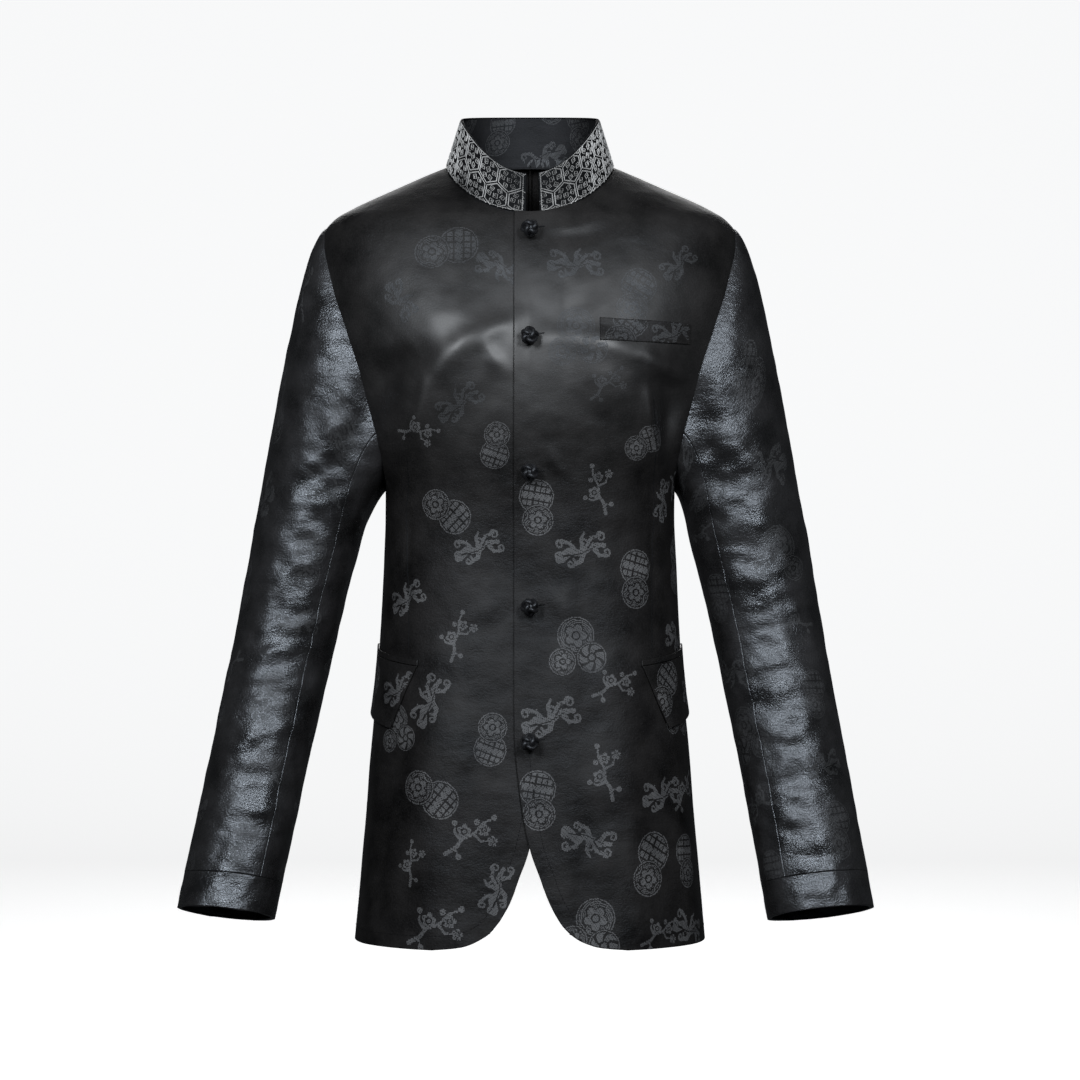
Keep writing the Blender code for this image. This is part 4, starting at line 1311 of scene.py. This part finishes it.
def placed(rows, side):
    hand = 1 if side == "left" else -1
    places = []
    for across, height, kind, turn, size in rows:
        flat = on_flat_cloth(angle_at(np.array(across), np.array(height)), np.array(height))
        out = float(flat[0]) - UV_MIDDLE
        places.append((UV_MIDDLE + hand * out, float(flat[1]), kind, math.radians(hand * turn), size))
    return places


def flat_box(made):
    """Lowest and highest flat places of a piece of cloth."""
    flat = np.empty(len(made.data.uv_layers["UVMap"].data) * 2, np.float32)
    made.data.uv_layers["UVMap"].data.foreach_get("uv", flat)
    return flat.reshape(-1, 2).min(0), flat.reshape(-1, 2).max(0)


def scattered(low, high, seed, wide=0.074, tall=0.066):
    """Figures on a half-drop repeat over a stretch of flat cloth, a little uneven."""
    chance = np.random.default_rng(seed)
    places = []
    for column, across in enumerate(np.arange(low[0], high[0], wide)):
        for row, up in enumerate(np.arange(low[1], high[1], tall)):
            kind = (CLOUD, TWO, BRANCH, THREE, CLOUD_TURNED, TWO, BRANCH_TURNED, TWO)[(row + 3 * column) % 8]
            drop = tall / 2 * (column % 2)
            nudge = chance.uniform(-0.006, 0.006, 2)
            turn = chance.uniform(-0.5, 0.5) + (1.2 if kind == TWO else 0)
            places.append((across + nudge[0], up + drop + nudge[1], kind, turn, chance.uniform(0.85, 1.02)))
    return places


LIFT = 0.00012
PATCHED = ("breast_welt_band", "pocket_flap_left_leaf", "pocket_flap_right_leaf")
FIGURE_PLACES = {
    "front_panel_left": placed(FIGURES_ON_LEFT_FRONT, "left") + scattered((0.66, 0.02), (0.80, 0.46), 1),
    "front_panel_right": placed(FIGURES_ON_RIGHT_FRONT, "right") + scattered((0.20, 0.02), (0.34, 0.46), 2),
    "back_panel_left": scattered((0.70, 0.02), (1.0, 0.82), 3),
    "back_panel_right": scattered((0.02, 0.02), (0.32, 0.82), 4),
}
for number, side in enumerate(("left", "right")):
    for name in ("outer_sleeve", "inner_sleeve"):
        FIGURE_PLACES[f"{name}_{side}"] = scattered((0.26, 0.30), (0.76, 0.96), 5 + number)
for name in PATCHED:
    low, high = flat_box(cloths[name])
    middle = (low + high) / 2
    wide = (high - low)[0]
    FIGURE_PLACES[name] = [(middle[0] - 0.24 * wide, middle[1], TWO, 0.9, 1.0)]
    FIGURE_PLACES[name].append((middle[0] + 0.30 * wide, middle[1], CLOUD, 0.3, 0.9))
FIGURE_PLACES["collar_facing"] = scattered((0.12, 0.102), (0.54, 0.16), 9, 0.045, 0.05)
# Figures more than 0.48 m up the flat cloth, and all figures on the backs, sleeves and collar facing, take
# the darker figure finish: painted shade, standing in for the sheen that hides the weave there.
for name, places in FIGURE_PLACES.items():
    shaded = [
        place for place in places
        if name.startswith(("back", "outer", "inner", "collar")) or place[1] > 0.48
    ]
    fresh = [place for place in places if place not in shaded]
    for label, some, finish in (("worn_figures", shaded, "shaded_figure"), ("figures", fresh, "figure")):
        if some:
            made = lay(f"{name}_{label}", cloths[name], some, woven_figures, finish, LIFT)
            print(name, "carries", len(made.data.polygons), "floats in", finish)

# %% [markdown]
# ## Silver embroidery on the collar
#
# The collar is covered with a tortoiseshell net: six-sided cells, each with its own outline,
# and in each one a fret of squared hooks in silver thread. The thread stands up from the cloth,
# so each stroke is drawn as a low ridge, and the same laying tree puts the cells on the
# collar. Rows of short stitches bind its edges.

# %% Strokes of raised thread
CELL = 0.0137


def raised(points, width, height, closed=False):
    """Corners and faces of a ridge of thread along a line of points."""
    points = np.array(points, float)
    before = np.roll(points, 1, 0) if closed else np.concatenate([[2 * points[0] - points[1]], points[:-1]])
    after = np.roll(points, -1, 0) if closed else np.concatenate([points[1:], [2 * points[-1] - points[-2]]])
    along = unit(unit(points - before) + unit(after - points) + 1e-9)
    aside = np.stack([-along[:, 1], along[:, 0]], -1) * width / 2
    corners, faces = [], []
    for place, side in zip(points, aside):
        corners += [(*(place - side), 0.0), (*place, height), (*(place + side), 0.0)]
    count = len(points)
    for i in range(count if closed else count - 1):
        a, b = 3 * i, 3 * ((i + 1) % count)
        faces += [(a + 1, a, b, b + 1), (a + 2, a + 1, b + 1, b + 2)]
    return corners, faces


def together(strokes):
    corners, faces = [], []
    for more_corners, more_faces in strokes:
        start = len(corners)
        corners += more_corners
        faces += [tuple(start + i for i in face) for face in more_faces]
    return corners, faces


def six_sided(radius, points_a_side=3):
    turns = np.radians(30 + 60 * np.arange(7))
    ring_points = np.stack([np.cos(turns), np.sin(turns)], -1) * radius
    shares = np.arange(points_a_side)[:, None] / points_a_side
    return np.concatenate([a + (b - a) * shares for a, b in zip(ring_points[:-1], ring_points[1:])])


def square_hook(centre, turn, size, hand=1):
    """Points of a squared spiral, the fret that fills each cell."""
    place, heading, points = np.zeros(2), turn, [np.zeros(2)]
    for length in (1.0, 1.0, 1.0, 0.64, 0.60, 0.28):
        place = place + size * length * np.array([math.cos(heading), math.sin(heading)])
        heading += hand * math.pi / 2
        points.append(place)
    return np.array(points) - np.mean(points, axis=0) + centre


def fret_cell(seed):
    """One cell of the net: an outline, squared hooks round it and one in the middle."""
    chance = np.random.default_rng(seed)
    strokes = [raised(six_sided(CELL * 0.905), 0.00100, 0.00055, True)]
    strokes.append(raised(square_hook((0.0, 0.0), chance.uniform(0, 6), 0.0042), 0.00072, 0.0006))
    for side in range(6):
        turn = math.radians(60 * side) + chance.uniform(-0.12, 0.12)
        hand = 1 if side % 2 else -1
        middle = (0.0070 * math.cos(turn), 0.0070 * math.sin(turn))
        strokes.append(
            raised(square_hook(middle, turn + chance.uniform(0, 1.5), 0.0038, hand), 0.00072, 0.0006)
        )
    return together(strokes)


def stitch(length, width, height):
    steps = np.linspace(-0.5, 0.5, 4)
    corners = []
    for step in steps:
        slim = math.cos(step * 2.2)
        corners += [
            (step * length, -width * slim / 2, 0),
            (step * length, 0, height * slim),
            (step * length, width * slim / 2, 0),
        ]
    faces = []
    for i in range(3):
        faces += [(3 * i + 1, 3 * i, 3 * i + 3, 3 * i + 4), (3 * i + 2, 3 * i + 1, 3 * i + 4, 3 * i + 5)]
    return corners, faces


collar_cells = drawings("collar_cells", {f"cell_{i}": fret_cell(20 + i) for i in range(4)})
edge_stitches = drawings("edge_stitches", {"a_stitch": stitch(0.0022, 0.0009, 0.0005)})
hem_stitches = drawings("hem_stitches", {"a_stitch": stitch(0.0026, 0.0006, 0.0003)})

# %% The net over the collar and the stitches round it
NET_ENDS = (0.1 + 0.0030, 0.1 + collar_length - 0.0030)


def net_places():
    chance = np.random.default_rng(31)
    wide, tall = CELL * math.sqrt(3), CELL * 1.5
    places = []
    for row in range(-1, 4):
        shift = wide / 2 * (row % 2)
        for across in np.arange(NET_ENDS[0] + shift - 0.002, NET_ENDS[1], wide):
            places.append((across, 0.1 + 0.0105 + tall * row, int(chance.integers(4)), 0.0, 1.0))
    return places


def stitched_line(points, pitch, size=1.0):
    """Places for stitches along a line on the flat cloth, each turned to follow it."""
    points = np.array(points, float)
    run = np.concatenate([[0], np.cumsum(np.linalg.norm(np.diff(points, axis=0), axis=1))])
    stops = np.arange(pitch / 2, run[-1], pitch)
    x, y = (np.interp(stops, run, points[:, i]) for i in (0, 1))
    turns = np.arctan2(np.gradient(y), np.gradient(x))
    return [(a, b, 0, turn, size) for a, b, turn in zip(x, y, turns)]


net = lay("collar_net", cloths["collar_band"], net_places(), collar_cells, "silver", 0.00005)
low, high = 0.1 + 0.0011, 0.1 + collar_height - 0.0011
border = stitched_line([(NET_ENDS[0] - 0.0015, low), (NET_ENDS[1], low)], 0.0024)
border += stitched_line([(NET_ENDS[0] - 0.0015, high), (NET_ENDS[1], high)], 0.0024)
for end in (NET_ENDS[0] - 0.0012, NET_ENDS[1]):
    border += stitched_line([(end, low), (end, high)], 0.0024)
lay("collar_border_stitches", cloths["collar_band"], border, edge_stitches, "silver", 0.00005)
print("net:", len(net.data.polygons), "faces; border:", len(border), "stitches")

# %% [markdown]
# ## Stitching on the body
#
# A row of stitches runs about twelve millimetres above the hem of each front and follows its
# rounded corner. A dart is sewn down each front below the chest, and each buttonhole is
# bound with a close lip of thread beside its button.

# %% Hem stitches


def above_hem(name, distance):
    """A line on the flat cloth that runs parallel to a piece's lower edge."""
    grid = front if name == "front" else back
    flat = on_flat_cloth(grid[..., 0], grid[..., 1])
    edge = flat[0]
    if name == "front":
        edge = np.concatenate([flat[40:0:-1, 0], flat[0]])
    along = unit(np.gradient(edge, axis=0))
    inward = np.stack([-along[:, 1], along[:, 0]], -1)
    return edge + inward * distance


for name in ("front", "back"):
    line = above_hem(name, 0.012)
    lay(
        f"{name}_hem_stitches_left", cloths[f"{name}_panel_left"],
        stitched_line(line, 0.0036), hem_stitches, "seam", 0.0001,
    )
    line = line[::-1] * np.array([-1, 1]) + np.array([2 * UV_MIDDLE, 0])
    lay(
        f"{name}_hem_stitches_right", cloths[f"{name}_panel_right"],
        stitched_line(line, 0.0036), hem_stitches, "seam", 0.0001,
    )
print("hem stitches follow", round(float(np.linalg.norm(np.diff(line, axis=0), axis=1).sum()), 3), "m")

# %% Darts and buttonholes
BUTTONS = [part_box(f"button_{number}") for number in range(1, 6)]
DARTS = {"left": ((0.1085, -0.212), (0.1105, -0.300), (0.1085, -0.370), (0.1080, -0.436))}
DARTS["right"] = ((0.1075, -0.262), (0.1100, -0.320), (0.1075, -0.380), (0.1070, -0.436))


def flat_line(points, side):
    hand = 1 if side == "left" else -1
    flats = [on_flat_cloth(angle_at(np.array(a), np.array(h)), np.array(h)) for a, h in points]
    return [(UV_MIDDLE + hand * (float(flat[0]) - UV_MIDDLE), float(flat[1])) for flat in flats]


def finer(points, pitch=0.006):
    points = np.array(points, float)
    run = np.concatenate([[0], np.cumsum(np.linalg.norm(np.diff(points, axis=0), axis=1))])
    stops = np.linspace(0, run[-1], max(2, round(run[-1] / pitch)))
    return np.stack([np.interp(stops, run, points[:, i]) for i in (0, 1)], -1)


for side, points in DARTS.items():
    seam_line = drawings(
        f"dart_line_{side}", {"a_line": raised(finer(flat_line(points, side)), 0.0009, 0.0001)}
    )
    lay(f"dart_{side}", cloths[f"front_panel_{side}"], [(0, 0, 0, 0, 1)], seam_line, "seam", 0.0001)
lip = [(0.0065, 0.0), (0.0125, 0.0006), (0.0205, 0.0006), (0.0215, 0.0), (0.0205, -0.0006), (0.0125, -0.0006)]
bound_hole = drawings("bound_holes", {"a_hole": raised(lip, 0.0009, 0.0006, True)})
holes = []
for low_corner, high_corner in BUTTONS:
    height = (low_corner[2] + high_corner[2]) / 2
    flat = on_flat_cloth(angle_at(np.array(0.0), np.array(height)), np.array(height))
    holes.append((float(flat[0]), float(flat[1]), 0, math.radians(8), 0.62))
lay("buttonholes", cloths["front_panel_left"], holes, bound_hole, "cord", 0.0001)
print("buttonholes:", len(holes))

# %% [markdown]
# ## Knotted buttons
#
# Each button is a cord tied into a ball. A real one weaves over and under itself, and a rule
# gives that path: the cord goes three times round the ball while it swings four times
# between its poles, and moves in and out at every crossing. A tube is swept along the path.

# %% The cord of a knotted ball
KNOT_RADIUS = 0.0061
CORD_RADIUS = 0.00175


def tube(points, radius, sides=10, closed=True):
    """A tube of cord along a path."""
    points = np.array(points, float)
    ahead = np.roll(points, -1, 0) - np.roll(points, 1, 0) if closed else np.gradient(points, axis=0)
    along = unit(ahead)
    side = np.zeros_like(points)
    guide = np.array([0.3, 0.2, 0.9])
    for i, direction in enumerate(along):
        guide = guide - direction * (guide @ direction)
        guide = guide / np.linalg.norm(guide)
        side[i] = guide
    other = np.cross(along, side)
    turn = np.linspace(0, 2 * math.pi, sides, endpoint=False)
    around = side[:, None] * np.cos(turn)[None, :, None] + other[:, None] * np.sin(turn)[None, :, None]
    corners = (points[:, None] + around * radius).reshape(-1, 3)
    faces, count = [], len(points)
    for i in range(count if closed else count - 1):
        for j in range(sides):
            a, b = i * sides, ((i + 1) % count) * sides
            faces.append((a + j, a + (j + 1) % sides, b + (j + 1) % sides, b + j))
    return corners, faces


def knot_path():
    t = np.linspace(0, 2 * math.pi, 168, endpoint=False)
    round_turn, swing = 3 * t, math.radians(64) * np.cos(4 * t)
    out = KNOT_RADIUS + 0.0010 * np.sin(8 * t)
    return np.stack(
        [
            out * np.cos(swing) * np.cos(round_turn),
            out * np.cos(swing) * np.sin(round_turn),
            out * np.sin(swing),
        ],
        -1,
    )


def closed_mesh(name, parts, finish):
    shell = bmesh.new()
    for corners, faces in parts:
        verts = [shell.verts.new(corner) for corner in corners]
        for face in faces:
            shell.faces.new([verts[i] for i in face])
    bmesh.ops.recalc_face_normals(shell, faces=shell.faces)
    mesh = bpy.data.meshes.new(name)
    shell.to_mesh(mesh)
    shell.free()
    mesh.shade_smooth()
    mesh.uv_layers.new(name="UVMap")
    mesh.materials.append(FINISH[finish])
    made = bpy.data.objects.new(name, mesh)
    scene.collection.objects.link(made)
    return made


def ball(radius, centre=(0, 0, 0)):
    shell = bmesh.new()
    bmesh.ops.create_icosphere(shell, subdivisions=3, radius=radius)
    corners = [tuple(np.array(v.co) + centre) for v in shell.verts]
    faces = [tuple(v.index for v in face.verts) for face in shell.faces]
    shell.free()
    return corners, faces


knot, core = tube(knot_path(), CORD_RADIUS), ball(KNOT_RADIUS - 0.0004)
stalk = tube([(0, 0, z) for z in (-0.0040, -0.0064, -0.0090)], 0.0024, closed=False)
button_pieces = []
for number, (low_corner, high_corner) in enumerate(BUTTONS, 1):
    middle = (Vector(low_corner) + Vector(high_corner)) / 2
    axis = Vector((0, -1, 0.12 if number == 1 else 0.0)).normalized()
    turned = axis.to_track_quat("Z", "Y").to_matrix()
    spin = Vector((0, 0, 1)).rotation_difference(
        Vector((0.25 * math.sin(2.1 * number), 0.2 * math.cos(1.7 * number), 1))
    )
    centre = Vector((0.0, low_corner[1] + KNOT_RADIUS + CORD_RADIUS, middle.z))
    parts = []
    for corners, faces in (knot, core, stalk):
        loose = spin.to_matrix() if corners is not stalk[0] else turned.to_3x3() @ turned.inverted()
        parts.append(([turned @ (loose @ Vector(corner)) + centre for corner in corners], faces))
    button_pieces.append(closed_mesh(f"knotted_button_{number}", parts, "cord"))
print(
    "each button has", len(button_pieces[0].data.polygons), "faces and is",
    round(2 * (KNOT_RADIUS + CORD_RADIUS + 0.001), 4), "m across",
)

# %% [markdown]
# ## Thickness, and what stands for what
#
# Solidify gives each piece its thickness inwards. Then each piece hides the part of the
# measured model that it stands for. A flat size and an area are worked out for each piece:
# the size is the box of the piece's own flat layout, and the area is that of the shaped cloth
# itself. Where the layout is too small to hold that area, the length is raised until it does.
# These are not measured cuts, and the area check at the end proves nothing about them. They
# are far off on the backs, the sleeves and the cuffs.

# %% Thickness
for name, made in cloths.items():
    wall = made.modifiers.new("thickness", "SOLIDIFY")
    wall.thickness = BODY_THICKNESS
    wall.offset = -1
print("walls added to", len(cloths), "pieces")

# %% Names of the model's own parts
STANDS_FOR = {
    "collar_band": "collar_outer",
    "collar_facing": "collar_inner",
    "breast_welt_band": "breast_welt",
}
for side in ("left", "right"):
    for mine, theirs in (
        ("front_panel_{}", "front_{}"), ("back_panel_{}", "back_{}"), ("outer_sleeve_{}", "sleeve_upper_{}"),
        ("inner_sleeve_{}", "sleeve_under_{}"), ("cuff_band_{}", "cuff_{}"),
        ("pocket_jet_{}_strip", "pocket_jet_{}"), ("pocket_flap_{}_leaf", "pocket_flap_{}"),
    ):
        STANDS_FOR[mine.format(side)] = theirs.format(side)
SMALLEST_SIDE = 0.0101  # metres, just over the least that a stated size may be
AREA_ROOM = 1.001  # keeps the stated box a little larger than the stated area


def flat_size(made):
    low, high = flat_box(made)
    return [max(SMALLEST_SIDE, round(float(size), 3)) for size in high - low]


def face_area(made):
    return sum(face.area for face in made.data.polygons)


for name, made in cloths.items():
    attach(made, "root")
    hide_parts(STANDS_FOR[name])
    width, length = flat_size(made)
    area = face_area(made)
    if area > width * length:
        length = round(area / width * AREA_ROOM, 4)
    side = "right" if "right" in name else "left"
for made, cloth in laid_pieces.values():
    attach(made, "root")
for number, made in enumerate(button_pieces, 1):
    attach(made, "root")
    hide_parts(f"button_{number}")
print("pieces:", len(cloths) + len(laid_pieces) + len(button_pieces))
